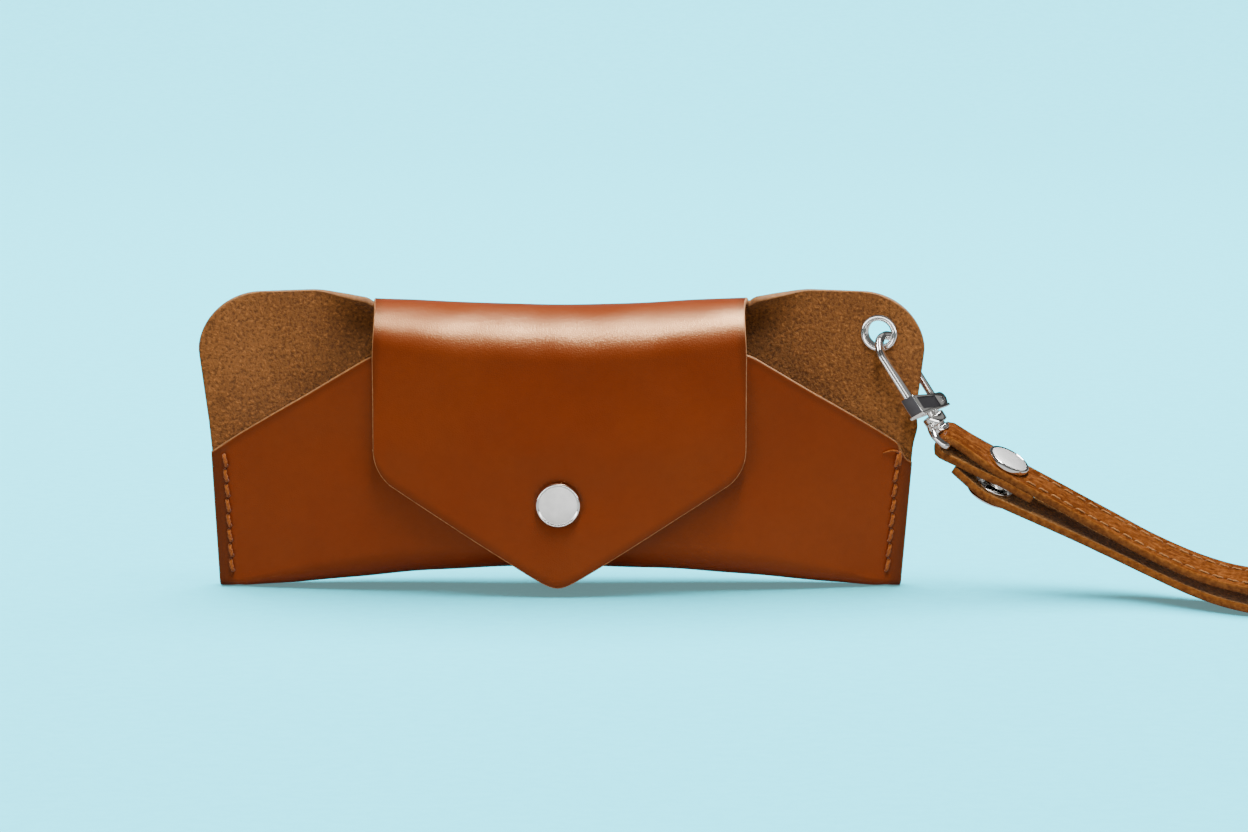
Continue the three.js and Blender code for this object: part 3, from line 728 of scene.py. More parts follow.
def strap_frames(path, lean):
    """Middle points, across directions and outward normals along a strap path of (s, z) points."""
    s, z = path[:, 0], path[:, 1]
    flat = np.array([BAR_AT[0], BAR_AT[1], 0.0]) + s[:, None] * ALONG
    centre = flat + z[:, None] * UP + sideways(s)[:, None] * ACROSS
    tangent = unit(np.gradient(centre, axis=0))
    across = unit(ACROSS - (tangent @ ACROSS)[:, None] * tangent)
    normal = np.cross(tangent, across)
    angle = (lean * (normal @ UP))[:, None]
    leaning = across * np.cos(angle) + normal * np.sin(angle)
    return centre, leaning, normal * np.cos(angle) - across * np.sin(angle)


def fold_point(degrees):
    a = HOLD + math.radians(degrees)
    return [FOLD_R * math.cos(a), BAR_AT[2] + FOLD_R * math.sin(a)]


run_slope = (NEXT_LEVEL - SNAP_LEVEL) / (NEXT_S - SNAP_S)
UNDER = [[SNAP_S + s + SHIFT[0], SNAP_LEVEL - DROP + run_slope * s + SHIFT[1]] for s in (8.1, 4.3, 0)]
UNDER.append([8.5 + SHIFT[0] * 1.3, SNAP_LEVEL - DROP - math.tan(HOLD) * 5.2 + SHIFT[1] * 1.35])
FOLD = [fold_point(t) for t in (270, 235, 200, 165, 130, 90)]
STEP = 0.8 / FINE
strip_path = resample(smooth_path(UNDER + FOLD + OUTER_RUN + FAR_BEND + LOWER_RUN[:7], 12), STEP)
tail_path = resample(smooth_path([LOWER_RUN[5]] + LOWER_RUN[6:], 14)[14:], STEP)
STRAP_FIRST = float(travel(smooth_path(UNDER + FOLD, 12))[-1])

strip_s = travel(strip_path)
tail_s = travel(tail_path, strip_s[-1])
strip_lean = LEAN * (1 - ease((strip_s - STRAP_FIRST - 80) / 45))
tail_lean = 0.7 * LEAN * ease((tail_s - tail_s[0]) / 16)
strip_frames = strap_frames(strip_path, strip_lean)
tail_frames = strap_frames(tail_path, tail_lean)


def half_width(s):
    return mix(5.0, 6.0, ease((s - 3) / 9))


def band_mesh(name, path, lengths, frames, cap_first, cap_last, holes=()):
    """The strap as a flat band: grain outside, flesh inside, rounded cut sides."""
    centre, across_dir, normal = frames
    n = len(path)
    profile = [(u, 0.5, 0.0, 0) for u in np.linspace(-1, 1, 25)]
    profile += [(1.0, 0.5 * math.sin(arc), math.cos(arc), 2) for arc in CUT_ARCS]
    profile += [(u, -0.5, 0.0, 1) for u in np.linspace(1, -1, 25)]
    profile += [(-1.0, 0.5 * math.sin(arc), -math.cos(arc), 2) for arc in CUT_ARCS[::-1]]
    m = len(profile)
    u, level, out, kind = (np.array([p[k] for p in profile]) for k in range(4))
    wander = 0.12 * np.sin(lengths / 9.0 + 1) + 0.07 * np.sin(lengths / 3.7 + 2)
    taper = np.ones(n)
    if cap_first:
        taper[:3] = (0.93, 0.98, 1.0)
    if cap_last:
        taper[-3:] = (1.0, 0.98, 0.93)
    half = (half_width(path[:, 0]) - 0.3) * taper + wander * 0.4
    w = half[:, None] * u[None, :] + out[None, :] * CUT_BULGE
    grain_side = (kind == 0)[None, :]
    rise = np.broadcast_to(level * BAND, w.shape).copy()
    rise += grain_side * (0.10 * (1 - u * u)[None, :] + 0.03 * np.sin(lengths[:, None] / 4.1 + 3 * u[None, :]))
    dark = np.zeros(w.shape)
    for hole_s, hole_w in holes:
        near = np.abs(lengths - hole_s) < 2.5
        r2 = (lengths[near, None] - hole_s) ** 2 + (w[near] - hole_w) ** 2
        rise[near] -= grain_side * 0.28 * np.exp(-r2 / 0.5)
        # Painted shade in each stitch hole.
        dark[near] = np.maximum(dark[near], grain_side * np.exp(-r2 / 0.16))
    points = centre[:, None] + across_dir[:, None] * (w + 0.25 * wander[:, None])[..., None]
    points = points + normal[:, None] * rise[..., None]
    faces, slots = [], []
    for i in range(n - 1):
        for k in range(m):
            k2 = (k + 1) % m
            faces.append((i * m + k, (i + 1) * m + k, (i + 1) * m + k2, i * m + k2))
            kinds = (kind[k], kind[k2])
            slots.append(2 if 2 in kinds else kinds[0])
    for i, use, order in ((0, cap_first, 1), (n - 1, cap_last, -1)):
        if use:
            faces.append(tuple(i * m + k for k in range(m))[::order])
            slots.append(2)
    fields = {
        "along": np.broadcast_to(lengths[:, None], w.shape),
        "across": w + 20 * (kind != 0)[None, :],
        "dark": dark,
        "rim": half[:, None] - np.abs(w),
    }
    fields = {key: values.reshape(-1) for key, values in fields.items()}
    leather = [STRAP_GRAIN, STRAP_FLESH, STRAP_EDGE]
    return new_object(name, points.reshape(-1, 3), faces, leather, slots, fields)


def thread_stitch(start, end, up, lift, radius, sink=0.55, turns=1.6, steps=15, sides=12, sway=(0, 0)):
    """One twisted stitch between two holes. It rises out of one and dives into the next."""
    start, end, up = (np.asarray(v, float) for v in (start, end, up))
    side = unit(np.cross(up, end - start))
    t = np.linspace(0, 1, steps)
    rise = lift * np.power(np.sin(math.pi * clamp(t * 0.94 + 0.03)), 0.55)
    rise = rise - sink * np.power(np.abs(2 * t - 1), 7)
    path = start + (end - start) * t[:, None] + up * rise[:, None]
    path = path + side * (sway[0] * np.sin(math.pi * t) + sway[1] * np.sin(2 * math.pi * t))[:, None]
    a = np.linspace(0, 2 * math.pi, sides, endpoint=False)

    def section(k):
        taper = 1 - 0.16 * abs(2 * k - 1) ** 3
        r = radius * taper * (1 + 0.13 * np.cos(2 * (a - turns * math.pi * k)))
        return np.stack([r * np.cos(a), r * np.sin(a)], axis=-1)

    return sweep(path, section, up)


# Stitch holes of the two rows, as (distance along the strip, place across it).
ROW_W = 3.45
ROW_FROM = STRAP_FIRST + 20.5
ROW_PITCH = 3.3
row_holes = {}
for side_sign in (-1, 1):
    first = ROW_FROM + (2.2 if side_sign > 0 else 0.0)
    row_holes[side_sign] = [(first + k * ROW_PITCH, side_sign * ROW_W) for k in range(38)]
all_holes = [h for row in row_holes.values() for h in row]

strip = band_mesh("strap_strip", strip_path, strip_s, strip_frames, True, False, all_holes)
tail = band_mesh("strap_free_end", tail_path, tail_s, tail_frames, False, True)


def at_length(frames, lengths, s, w, height):
    """A point on the strap and its outward normal."""
    found = [np.array([np.interp(s, lengths, f[:, k]) for k in range(3)]) for f in frames]
    centre, across_dir, normal = found
    return centre + across_dir * w + unit(normal) * height, unit(normal)


stitch_parts = []
for row in row_holes.values():
    for (s0, w), (s1, _) in zip(row, row[1:]):
        start, up0 = at_length(strip_frames, strip_s, s0 + 0.4, w - 0.28, BAND / 2 + 0.02)
        end, up1 = at_length(strip_frames, strip_s, s1 - 0.5, w - 0.28, BAND / 2 + 0.02)
        lift = 0.22 + 0.05 * RNG.uniform(-1, 1)
        sway = (-0.42 + 0.12 * RNG.uniform(-1, 1), 0.05)
        up = unit(up0 + up1)
        stitch_parts.append(thread_stitch(start, end, up, lift, 0.21, sink=0.4, sway=sway, steps=13, sides=8))
points, faces = joined(stitch_parts)
strap_stitches = new_object("strap_stitches", points, faces, [PALE_THREAD])

# ---- Press studs ----
CAP = [[0, 1.72], [2.4, 1.70], [3.9, 1.60], [4.45, 1.48], [4.6, 1.50], [4.85, 1.62], [5.1, 1.55]]
CAP += [[5.25, 1.2], [5.25, 0.5], [5.15, 0.15], [4.8, 0.05], [1.35, 0.1]]
# The spring socket, as (radius, depth behind the leather).
SOCKET = [[1.65, 0.15], [4.4, 0.12], [4.65, 0.3], [4.7, 0.7], [4.1, 0.95], [3.7, 1.75], [3.4, 1.9]]
SOCKET += [[2.85, 1.9], [2.65, 1.7], [2.6, 1.2], [2.8, 0.9], [2.6, 0.7], [1.65, 0.7]]
STUD = [[1.3, 0.15], [4.5, 0.12], [4.7, 0.35], [4.6, 0.7], [3.0, 0.62], [1.95, 0.8], [1.5, 1.1]]
STUD += [[1.5, 1.3], [1.75, 1.6], [1.5, 1.95], [0, 2.02], [0, 1.75], [1.3, 1.7]]
FLANGE_BACK = [[1.0, 0.15], [4.5, 0.12], [4.7, 0.4], [4.3, 0.8], [2.4, 0.85], [1.2, 0.6], [0, 0.6]]
POST = [[0, 1.4], [1.0, 1.35]] + [[r, -HIDE - depth] for r, depth in FLANGE_BACK]
POST_WIDER = 1.22
CROWN_R = 0.0045


def cap_profile(thick):
    return CAP + [[1.3, -thick - 0.5], [0, -thick - 0.5]]


def socket_profile(thick):
    return [[r, -thick - depth] for r, depth in SOCKET]


def two_tone_cap(name, thick, origin, axis):
    """A press stud cap with a satin crown and a polished rim."""
    obj = metal_piece(name, [turned(cap_profile(thick), origin, axis, 96)], SATIN)
    obj.data.materials.append(NICKEL)
    z = Vector(unit(axis).tolist())
    o = Vector((np.asarray(origin) * 0.001).tolist())
    for polygon in obj.data.polygons:
        d = polygon.center - o
        r = (d - z * d.dot(z)).length
        polygon.material_index = 1 if r > CROWN_R else 0
    return obj


FRONT = np.array([0, -1.0, 0])
panel_y = -(float(layer(FRONT_DEPTH, 0.0, SNAP_Z)) + HIDE / 2) + SEAM_Y
flap_y = -(float(layer(FLAP_DEPTH, 0.0, SNAP_Z)) + HIDE / 2) + SEAM_Y
ON_FLAP = [SNAP_X, flap_y, SNAP_Z]
ON_PANEL = [SNAP_X, panel_y, SNAP_Z]
snap_cap = two_tone_cap("flap_snap_cap", HIDE, ON_FLAP, FRONT)
snap_socket = metal_piece("flap_snap_socket", [turned(socket_profile(HIDE), ON_FLAP, FRONT, 72)], NICKEL)
snap_stud = metal_piece("pouch_snap_stud", [turned(STUD, ON_PANEL, FRONT, 72)], NICKEL)
snap_post = metal_piece("pouch_snap_post", [turned(POST, ON_PANEL, FRONT, 72)], SATIN)

snap_length = STRAP_FIRST + float(np.linalg.norm(np.array(OUTER_RUN[0]) - np.array(FOLD[-1])))
strap_top, FACE = at_length(strip_frames, strip_s, snap_length, 0.0, BAND / 2)
tail_snap = np.argmin(np.linalg.norm(tail_frames[0] + FACE * (TAIL_LEVEL + BAND / 2) - strap_top, axis=1))
tail_top = tail_frames[0][tail_snap] - tail_frames[2][tail_snap] * BAND / 2
TAIL_FACE = -tail_frames[2][tail_snap]
strap_thick = 2 * BAND + 0.04
strap_cap = two_tone_cap("strap_snap_cap", strap_thick, strap_top, FACE)
deep_socket = socket_profile(strap_thick)
strap_socket = metal_piece("strap_snap_socket", [turned(deep_socket, strap_top, FACE, 72)], NICKEL)
raised_stud = [[r, h + 0.05] for r, h in STUD]
strap_stud = metal_piece("strap_snap_stud", [turned(raised_stud, tail_top, TAIL_FACE, 72)], NICKEL)
wide_post = [[r * (POST_WIDER if r > 2 else 1), h - (BAND - HIDE) if h < 0 else h] for r, h in POST]
strap_post = metal_piece("strap_snap_post", [turned(wide_post, tail_top, TAIL_FACE, 72)], NICKEL)

# ---- The hide ----
stitch_z = STITCH_FIRST + STITCH_PITCH * np.arange(STITCH_COUNT)


def stitch_x(z):
    return half_at(z) - STITCH_INSET


def lean_left(points):
    """The left side of the pouch was sewn a little wider at the foot."""
    points[..., 0] -= 1.3 * clamp(1 - points[..., 2] / 40) * ease((-points[..., 0] - 50) / 25)
    return points


def widen_margin(points):
    """The margin outside the right seam flares, most of all just below the front's corner."""
    x, z = points[..., 0], points[..., 2]
    flare = 0.40 * (1 - ease((z - 36) / 8)) + 0.55 * np.exp(-(((z - 38.5) / 2.5) ** 2))
    points[..., 0] += flare * ease((x - stitch_x(z)) / 3)
    return points


pouch = widen_margin(lean_left(pouch_grid()))
pouch_n = grid_normals(pouch)
px, pz = pouch[..., 0], pouch[..., 2]
dark = np.zeros(px.shape)
dent = np.zeros(px.shape)
for side_sign in (-1, 1):
    for z in stitch_z:
        row = lean_left(np.array([side_sign * float(stitch_x(z)), 0.0, z]))
        r2 = (px - row[0]) ** 2 + (pz - z) ** 2
        dent += 0.34 * np.exp(-r2 / 0.55)
        # Painted shade in each stitch hole.
        dark = np.maximum(dark, np.exp(-r2 / 0.20))
    line = np.abs(np.abs(px) - stitch_x(pz))
    held = ease((stitch_z[-1] + 2 - pz) / 2)
    dent += 0.10 * np.exp(-((line / 1.2) ** 2)) * held * (np.sign(px) == side_sign)
# The margin outside the stitches, painted darker below the top of the seam: partly burnished leather, partly
# painted shade on the flat margin, which faces the light differently from the swelling panel.
margin_burnish_and_shade = ease((np.abs(px) - stitch_x(pz) - 0.2) / 1.2) * ease((36 - pz) / 3)
relief = 0.22 * waves(pouch, 46, 3) + 0.09 * waves(pouch, 17, 4)
inside_margin = clamp(swell(px, pz) * 3)
pouch = pouch + pouch_n * ((relief * inside_margin) - dent)[..., None]
pouch_piece = hide_sheet(
    "pouch_hide",
    pouch,
    [HIDE_GRAIN, HIDE_FLESH, HIDE_EDGE],
    np.maximum(dark, 0.45 * margin_burnish_and_shade),
    (True, lambda x: np.abs(x) > FLAP_HALF - 1, True, True),
)

flap = flap_grid()
flap[..., 0] -= 1.0 * clamp(1 - flap[..., 2] / 30) * (flap[..., 1] < SEAM_Y)
# The front of the flap is a little narrower than its root, most of all at the crown and on the right.
narrower = np.where(flap[..., 0] > 0, 1.0, 0.25) + 0.35 * ease((flap[..., 2] - 56) / 10)
flap[..., 0] *= 1 - narrower / FLAP_HALF * ease((SEAM_Y + 6 - flap[..., 1]) / 12)
flap_n = grid_normals(flap)
fx, fz = flap[..., 0], flap[..., 2]
on_front = flap[..., 1] < SEAM_Y - 6
from_snap = np.sqrt((fx - SNAP_X) ** 2 + (fz - SNAP_Z) ** 2)
press = np.where(on_front, 0.35 * np.exp(-(((from_snap - 4.4) / 1.6) ** 2)), 0.0)
flap_relief = 0.16 * waves(flap, 38, 12) + 0.06 * waves(flap, 15, 14)
root_fade = ease(np.linspace(0, 1, flap.shape[0]) * 6)[:, None]
match = np.interp(fx[0], pouch[-1][:, 0], (relief * inside_margin)[-1])
flap = flap + flap_n * (flap_relief * root_fade + match[None, :] * (1 - root_fade) - press)[..., None]
# A painted shadow ring on the flap round the snap cap.
snap_cap_shadow = np.where(on_front, 0.75 * np.exp(-(((from_snap - 5.2) / 0.55) ** 2)), 0.0)
flap_leather = [HIDE_GRAIN, HIDE_FLESH, FLAP_EDGE]
flap_piece = hide_sheet("flap_hide", flap, flap_leather, snap_cap_shadow, (False, True, True, True))

# ---- Seam stitches ----
def seam_stitches(side_sign):
    parts = []
    slant = 0.22 * side_sign
    for face in (-1, 1):
        y = face * (EDGE_LAYER + 0.34 + HIDE / 2 - 0.18) + SEAM_Y
        for z0, z1 in zip(stitch_z[:-1] + 0.42, stitch_z[1:] - 0.42):
            start = [side_sign * float(stitch_x(z0)) - slant, y, z0]
            end = [side_sign * float(stitch_x(z1)) + slant, y, z1]
            lift = 0.42 + 0.06 * RNG.uniform(-1, 1)
            sway = (0.08 * RNG.uniform(-1, 1), 0.0)
            parts.append(thread_stitch(start, end, [0, face, 0], lift, 0.46, sink=0.8, sway=sway, turns=2.2))
    return parts


# A doubled back-stitch at the top of the right seam, and its trimmed end.
seam_end = np.array([float(stitch_x(stitch_z[-1])), -(EDGE_LAYER + HIDE / 2) + SEAM_Y, stitch_z[-1]])
back_stitch = thread_stitch(seam_end + [0.45, 0, -2.9], seam_end + [0.55, 0, 0.1], FRONT, 0.5, 0.42)
loose = [[0.2, 0.3, 0.2], [-0.8, -0.5, 0.7], [-2.2, -0.7, 0.6], [-3.6, -0.55, 0.1]]
thread_end = sweep(smooth_path(seam_end + loose, 6), lambda k: round_section(0.3 * (1 - 0.5 * k), 10), FRONT)
right_extra = [back_stitch, thread_end]
left_points, left_faces = joined(seam_stitches(-1))
left_points = lean_left(left_points)
seam_left = new_object("left_seam_stitches", left_points, left_faces, [SEAM_THREAD])
right_points, right_faces = joined(seam_stitches(1) + right_extra)
seam_right = new_object("right_seam_stitches", right_points, right_faces, [SEAM_THREAD])

# ---- Eyelet ----
EYE = np.array([75.6, 4.087, 61.0])
EYE_AXIS = unit([0.28555, 0.958364, 0.0])
cut(pouch_piece, drill(3.62, -4, 4, EYE, EYE_AXIS, 64))
BARREL = [[2.98, -1.4], [3.25, -1.5], [3.35, 0.9], [4.2, 0.85], [4.45, 0.98], [4.42, 1.2], [4.2, 1.38]]
BARREL += [[3.62, 1.42], [3.5, 1.2], [3.42, 1.2], [3.36, 1.6], [3.2, 1.72], [3.05, 1.62], [2.98, 1.3]]
WASHER = [[3.4, -0.85], [3.42, -1.3], [3.7, -1.6], [4.2, -1.5], [4.45, -1.2], [4.3, -0.85]]
barrel = metal_piece("eyelet_face", [turned(BARREL, EYE, -EYE_AXIS, 96)], NICKEL)
washer = metal_piece("eyelet_back", [turned(WASHER, EYE, -EYE_AXIS, 96)], NICKEL)

# ---- Clasp ----
R = unit([0.53809, -0.114019, -0.83514])
W = unit([0.501212, 0.839887, 0.208269])
N = np.cross(R, W)
APEX = np.array([76.175, 3.915, 60.0])
CLASP = Matrix([[W[k], N[k], R[k], APEX[k]] for k in range(3)] + [[0, 0, 0, 1]])
LOOP_R = 4.5
PIN_R, PIN_W = 20.4, 4.3


def clasp_at(w, r):
    return APEX + w * W + r * R


hook_path = [clasp_at(-LOOP_R, r) for r in (18.4, 16, 12, 8)]
for i in range(33):
    a = math.pi * i / 32
    hook_path.append(clasp_at(-LOOP_R * math.cos(a), LOOP_R - LOOP_R * math.sin(a)))
hook_path.append(clasp_at(LOOP_R, LOOP_R + 0.5))
# The hook's wire is a rounded square with a fine groove along the side that faces out.
WIRE_SIDES = 72
GROOVE_AT = 12
wire = squared_section(0.95, 0.93, 3.4, WIRE_SIDES)
from_groove = (np.degrees(np.arctan2(wire[:, 1], wire[:, 0])) - GROOVE_AT + 180) % 360 - 180
wire = wire * (1 - 0.30 * np.exp(-((from_groove / 8.5) ** 2)))[:, None]
hook = metal_piece("hook_wire", [sweep(hook_path, lambda k: wire, N)], NICKEL, 60)
# The faces in the groove get dark nickel: a painted dark reflection line in the groove.
hook.data.materials.append(PAINTED_SHADE_NICKEL)
for polygon in hook.data.polygons:
    if len(polygon.vertices) == 4 and abs(from_groove[polygon.index % WIRE_SIDES]) < 11:
        polygon.material_index = 1


def clasp_prism(outline, low, high, bevel, segments=3):
    """A bevelled plate with an outline of (w, r) corners, from n = low to n = high."""
    bm = bmesh.new()
    lower = [bm.verts.new((w, low, r)) for w, r in outline]
    upper = [bm.verts.new((w, high, r)) for w, r in outline]
    bm.faces.new(lower)
    bm.faces.new(upper[::-1])
    for k in range(len(outline)):
        k2 = (k + 1) % len(outline)
        bm.faces.new((lower[k2], lower[k], upper[k], upper[k2]))
    bmesh.ops.recalc_face_normals(bm, faces=bm.faces)
    if bevel:
        bmesh.ops.bevel(bm, geom=list(bm.edges), offset=bevel, segments=segments, profile=0.5, affect="EDGES")
    bmesh.ops.transform(bm, matrix=CLASP, verts=bm.verts)
    bm.verts.index_update()
    made = np.array([list(v.co) for v in bm.verts]), [tuple(v.index for v in f.verts) for f in bm.faces]
    bm.free()
    return made


lug = [[PIN_W + 1.9 * math.cos(t), PIN_R + 1.9 * math.sin(t)] for t in np.radians([-75, -50, -25, 0, 25, 50])]
BLOCK = [[-5.7, 15.0], [-2.2, 16.3], [1.2, 17.6]] + lug + [[5.2, 22.4], [-5.7, 20.0]]
body = metal_piece("block_body", [clasp_prism(BLOCK, -1.7, 2.2, 0.25)], NICKEL, 28)
gate_slot = clasp_prism([[2.4, 16], [7, 16], [7, 24], [2.4, 24]], -1.3, 1.3, 0.15, 2)
cut(
    body,
    gate_slot,
    drill(0.7, -4, 4, clasp_at(PIN_W, PIN_R), N),
    clasp_prism([[-4.7, 16.0], [2.2, 18.5], [2.2, 21.5], [-4.7, 19.3]], 1.95, 3.2, 0),
    drill(1.2, 14, 18.6, clasp_at(-LOOP_R, 0), R),
)
edges_by_angle(body, 28)
# The block's end face and the floor of the pocket in its top get dark nickel: painted shade on these faces.
body.data.materials.append(PAINTED_SHADE_NICKEL)
for polygon in body.data.polygons:
    depth = (np.array(polygon.center) * 1000 - APEX) @ N
    end_face = np.dot(np.array(polygon.normal), W) < -0.97
    if end_face or (1.9 < depth < 2.0 and abs(np.dot(np.array(polygon.normal), N)) > 0.95):
        polygon.material_index = len(body.data.materials) - 1
FLANGE = [[-6.0, 19.6], [5.5, 22.0], [5.5, 22.7], [-6.0, 20.4]]
flange = metal_piece("block_flange", [clasp_prism(FLANGE, -2.0, 2.5, 0.2)], NICKEL, 28)
cut(flange, gate_slot)
gate_line = [clasp_at(LOOP_R, r) for r in np.linspace(PIN_R - 0.6, 5.3, 22)]
gate_arm = sweep(gate_line, lambda k: squared_section(0.8, 0.8, 3.4), N)
GATE_EYE = [[0.75, -0.9], [1.45, -0.9], [1.55, -0.75], [1.55, 0.75], [1.45, 0.9], [0.75, 0.9]]
gate_eye = turned(GATE_EYE, clasp_at(PIN_W, PIN_R), N, 48)
gate = metal_piece("spring_gate", [gate_arm, gate_eye], NICKEL, 50)
PIN = [[0, -1.75], [0.4, -1.75], [0.5, -1.6], [0.5, 1.95], [0.4, 2.1], [0, 2.1]]
pin = metal_piece("gate_hinge_pin", [turned(PIN, clasp_at(PIN_W, PIN_R), N, 32)], SATIN)
RIVET = [[0, 19.6], [1.0, 19.7], [1.0, 26.75], [1.5, 26.85], [1.5, 27.0], [1.2, 27.3], [0, 27.4]]
rivet = metal_piece("rivet", [turned(RIVET, APEX, R, 40)], NICKEL)
ring_normal = unit(np.cross(R, ACROSS))
RING_R = 29.6


def ring_at(w, r):
    """A point of the ring, whose arms bow out between the barrel and the straight bar."""
    bow = 1.5 * ((r - 24.0) / 5.6) ** 2 - 1.15
    return APEX + w * ACROSS + r * R + bow * ring_normal


# One half of the ring, from the barrel to the bar's end, then the straight bar.
HALF_RING = [[2.4, 24.0], [3.7, 24.2], [5.1, 25.0], [6.3, 26.3], [6.7, 28.6], [6.55, 29.25], [6.05, 29.6]]
ring_path = [ring_at(-w, r) for w, r in HALF_RING]
ring_path += [ring_at(w, 29.6) for w in (-4, -2, 0, 2, 4)]
ring_path += [ring_at(w, r) for w, r in HALF_RING[::-1]]
SWIVEL = [[1.3, 22.2], [2.5, 22.2], [2.7, 22.4], [2.7, 24.4], [2.5, 24.6], [1.7, 24.7], [1.7, 25.3]]
SWIVEL += [[2.1, 25.4], [2.2, 25.6], [2.2, 26.4], [2.0, 26.6], [1.3, 26.6]]
ring = sweep(smooth_path(ring_path, 5), lambda k: round_section(0.84, 20), ring_normal)
swivel = metal_piece("swivel_ring", [turned(SWIVEL, APEX, R, 72), ring], NICKEL, 50)

# ---- Which body each piece goes with, and which nodes it stands for ----
for obj, body_name, nodes, slot_name in (
    (pouch_piece, "case", ["case_leather"], "hide"),
    (seam_left, "case", ["seam_thread_left"], "seam_thread"),
    (seam_right, "case", ["seam_thread_right"], "seam_thread"),
    (snap_stud, "case", ["snap_stud"], "polished_metal"),
    (snap_post, "case", ["snap_stud_post"], "satin_metal"),
    (barrel, "case", ["eyelet_barrel"], "polished_metal"),
    (washer, "case", ["eyelet_washer"], "polished_metal"),
    (snap_cap, "flap", ["snap_cap"], "satin_metal"),
    (snap_socket, "flap", ["snap_socket"], "polished_metal"),
    (hook, "clasp", ["clasp_hook"], "polished_metal"),
    (body, "clasp", ["clasp_block"], "polished_metal"),
    (flange, "clasp", [], "polished_metal"),
    (pin, "clasp", ["gate_pin"], "satin_metal"),
    (rivet, "clasp", ["swivel_rivet"], "satin_metal"),
    (gate, "gate", ["clasp_gate"], "polished_metal"),
    (swivel, "swivel", ["swivel_eye"], "polished_metal"),
    (strip, "strap", ["strap_band"], "strap_leather"),
    (strap_stitches, "strap", ["strap_thread_near", "strap_thread_far"], "strap_thread"),
    (strap_cap, "strap", ["strap_cap"], "satin_metal"),
    (strap_socket, "strap", ["strap_socket"], "polished_metal"),
    (strap_stud, "tail", ["strap_stud"], "polished_metal"),
    (strap_post, "tail", ["strap_stud_post"], "satin_metal"),
):
    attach(obj, body_name)
    if nodes:
        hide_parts(*nodes)

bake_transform(flap_piece)
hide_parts("flap_leather")
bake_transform(tail)
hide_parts("strap_tail")

# ---- Surroundings ----
def paper(name, low, high, glow=(0, 0, 0), far=None):
    p = Paint(name)
    fibre = p.noise(420, 5, 0.7, at=p.stretched(p.place, (0.55, 1.0, 1.0)))
    color = p.blend(p.spread(fibre, 0.3, 0.7), low, high)
    if far is not None:
        split_place = p.node("ShaderNodeSeparateXYZ")
        p.link(p.place, split_place.inputs[0])
        color = p.blend(p.spread(split_place.outputs[1], -0.15, -0.24), color, far)
    p.shader.inputs["Emission Color"].default_value = (*glow, 1.0)
    p.shader.inputs["Emission Strength"].default_value = 1.0
    return p.finish(color, 0.95, p.bump(fibre, 0.0002, 0.3), **{"Specular IOR Level": 0.02})


def studio_sheet(name, material, level):
    """Floor that curves up into a wall behind."""
    curve = [(-2.6, 0), (-1.5, 0), (-0.6, 0), (0.0, 0), (0.5, 0), (0.9, 0)]
    bend = [math.radians(t) for t in range(8, 91, 8)]
    curve += [(0.9 + 0.6 * math.sin(a), 0.6 - 0.6 * math.cos(a)) for a in bend]
    curve += [(1.5, 1.2), (1.5, 3.0)]
    across = np.linspace(-3, 3, 13)
    points = np.array([[[x * 1000, y * 1000, z * 1000 + level] for x in across] for y, z in curve])
    rows, cols = points.shape[:2]
    index = np.arange(rows * cols).reshape(rows, cols)
    quads = np.stack([index[:-1, :-1], index[:-1, 1:], index[1:, 1:], index[1:, :-1]], axis=-1).reshape(-1, 4)
    obj = new_object(name, points.reshape(-1, 3), quads, [material])
    return obj


# The sheet the camera sees, and a duller one just below it that gives the light bounced onto the case.
seen_paper = paper("backdrop paper", (0.06, 0.65, 0.72), (0.08, 0.69, 0.76), glow=(0.13, 0.24, 0.25))
seen = studio_sheet("backdrop", seen_paper, 0.0)
seen.visible_diffuse = False
seen.visible_glossy = False
seen.visible_shadow = False
bounce_paper = paper("bounce paper", (0.27, 0.28, 0.28), (0.30, 0.31, 0.31), far=(0.06, 0.07, 0.07))
bounce = studio_sheet("bounce", bounce_paper, -0.4)
bounce.visible_camera = False


def light_group(name, *members):
    group = bpy.data.collections.new(name)
    for member in members:
        group.objects.link(member)
    return group


only_backdrop = light_group("backdrop only", seen)
not_backdrop = light_group("all but backdrop", seen)
not_backdrop.collection_objects[0].light_linking.link_state = "EXCLUDE"
hides = light_group("smooth leather", pouch_piece, flap_piece)
upper_metal = light_group("upper metal", strap_cap, hook, body, swivel, gate)
stud_metal = (snap_cap, strap_socket, strap_stud, strap_post)
metal_only = light_group("metal only", *stud_metal, barrel, hook, body, flange, pin, rivet, gate, swivel)


def area_light(name, location, target, size, power, color=(1, 1, 1), receivers=not_backdrop, only=None):
    """A rectangular light. only is "gloss" or "diffuse" where it gives just that."""
    data = bpy.data.lights.new(name, "AREA")
    data.shape = "RECTANGLE"
    data.size, data.size_y = size
    data.energy = power
    data.color = color
    obj = bpy.data.objects.new(name, data)
    bpy.context.scene.collection.objects.link(obj)
    obj.location = location
    obj.rotation_euler = (Vector(target) - Vector(location)).to_track_quat("-Z", "Y").to_euler()
    obj.light_linking.receiver_collection = receivers
    obj.visible_camera = False
    obj.visible_diffuse = only != "gloss"
    obj.visible_glossy = only != "diffuse"


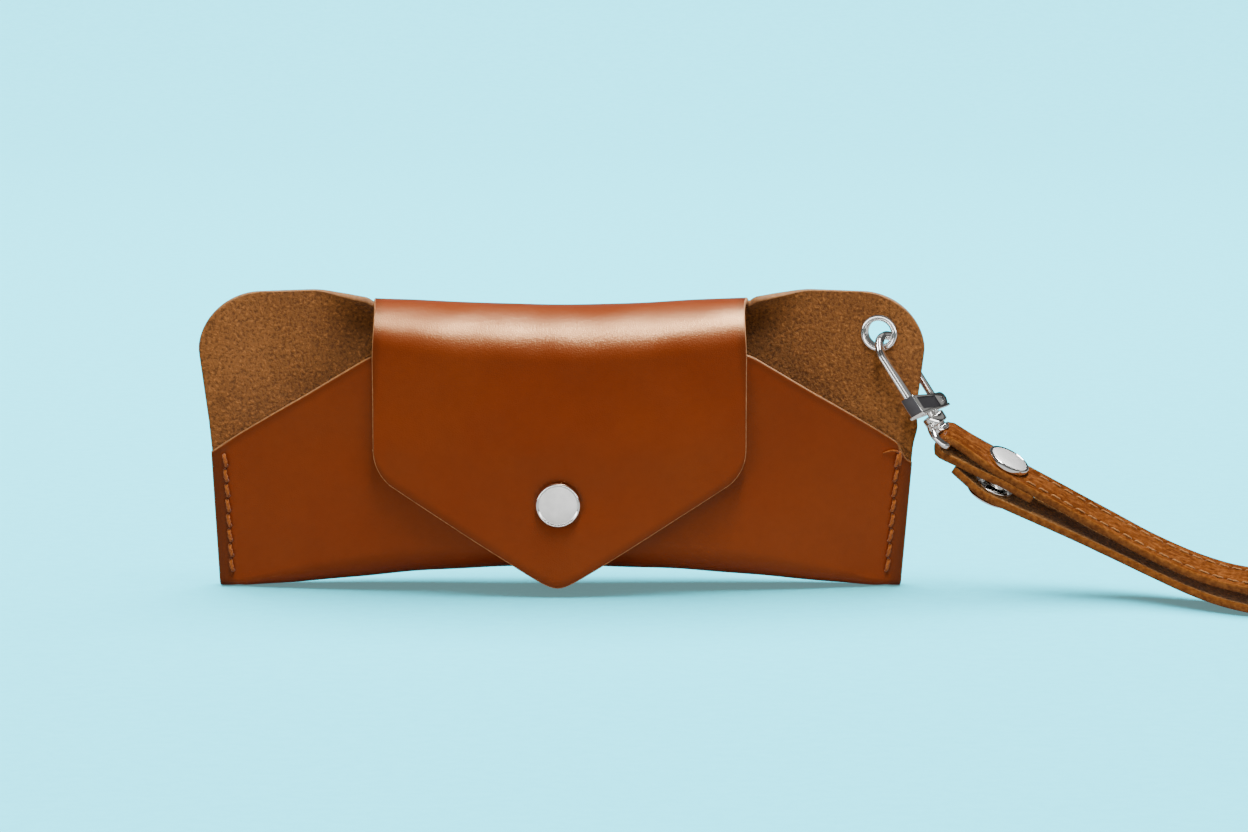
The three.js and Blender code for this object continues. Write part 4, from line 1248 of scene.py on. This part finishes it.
ABOVE_RIGHT = (0.26, -0.11, 0.93)
MIDDLE = (0.03, 0.0, 0.03)
WARM = (1.0, 0.90, 0.74)
area_light("overhead", (0.16, -0.03, 0.95), MIDDLE, (1.0, 0.14), 27.0, only="diffuse")
area_light("shine on the crown", ABOVE_RIGHT, MIDDLE, (1.3, 0.09), 140.0, WARM, hides, only="gloss")
area_light("metal top", ABOVE_RIGHT, MIDDLE, (1.3, 0.2), 26.0, receivers=upper_metal, only="gloss")
area_light("metal card", (-0.05, -0.6, 0.03), (0, 0, 0.03), (1.0, 0.12), 2.8, receivers=metal_only, only="gloss")
area_light("front left", (-0.75, -1.05, 0.42), (0, 0, 0.03), (0.6, 0.6), 6.6, only="diffuse")
area_light("front right", (0.8, -0.9, 0.4), (0.05, 0, 0.03), (0.6, 0.6), 2.6, only="diffuse")
area_light("backdrop wash", (0, 0.45, 1.6), (0, 0.35, 0), (2.6, 1.6), 225.0, (0, 0.86, 1.0), only_backdrop)

# ---- Room ----
world = bpy.data.worlds.new("studio")
bpy.context.scene.world = world
world.use_nodes = True
sky = world.node_tree
coords = sky.nodes.new("ShaderNodeTexCoord")
split = sky.nodes.new("ShaderNodeSeparateXYZ")
ramp = sky.nodes.new("ShaderNodeValToRGB")
sky.links.new(coords.outputs["Generated"], split.inputs[0])
lift = sky.nodes.new("ShaderNodeMath")
lift.operation = "MULTIPLY_ADD"
lift.inputs[1].default_value = 0.5
lift.inputs[2].default_value = 0.5
sky.links.new(split.outputs[2], lift.inputs[0])
sky.links.new(lift.outputs[0], ramp.inputs[0])
# Light below the horizon, dim just above it, a bright band, dark again, and lighter straight overhead.
stops = [(0.0, 0.5), (0.49, 0.45), (0.53, 0.08), (0.61, 0.06), (0.66, 0.5), (0.75, 0.5), (0.80, 0.06), (1.0, 0.3)]
while len(ramp.color_ramp.elements) < len(stops):
    ramp.color_ramp.elements.new(0.5)
for element, (position, value) in zip(ramp.color_ramp.elements, stops):
    element.position = position
    element.color = (value, value * 0.985, value * 0.96, 1)
sky.links.new(ramp.outputs[0], sky.nodes["Background"].inputs["Color"])
sky.nodes["Background"].inputs["Strength"].default_value = 0.6
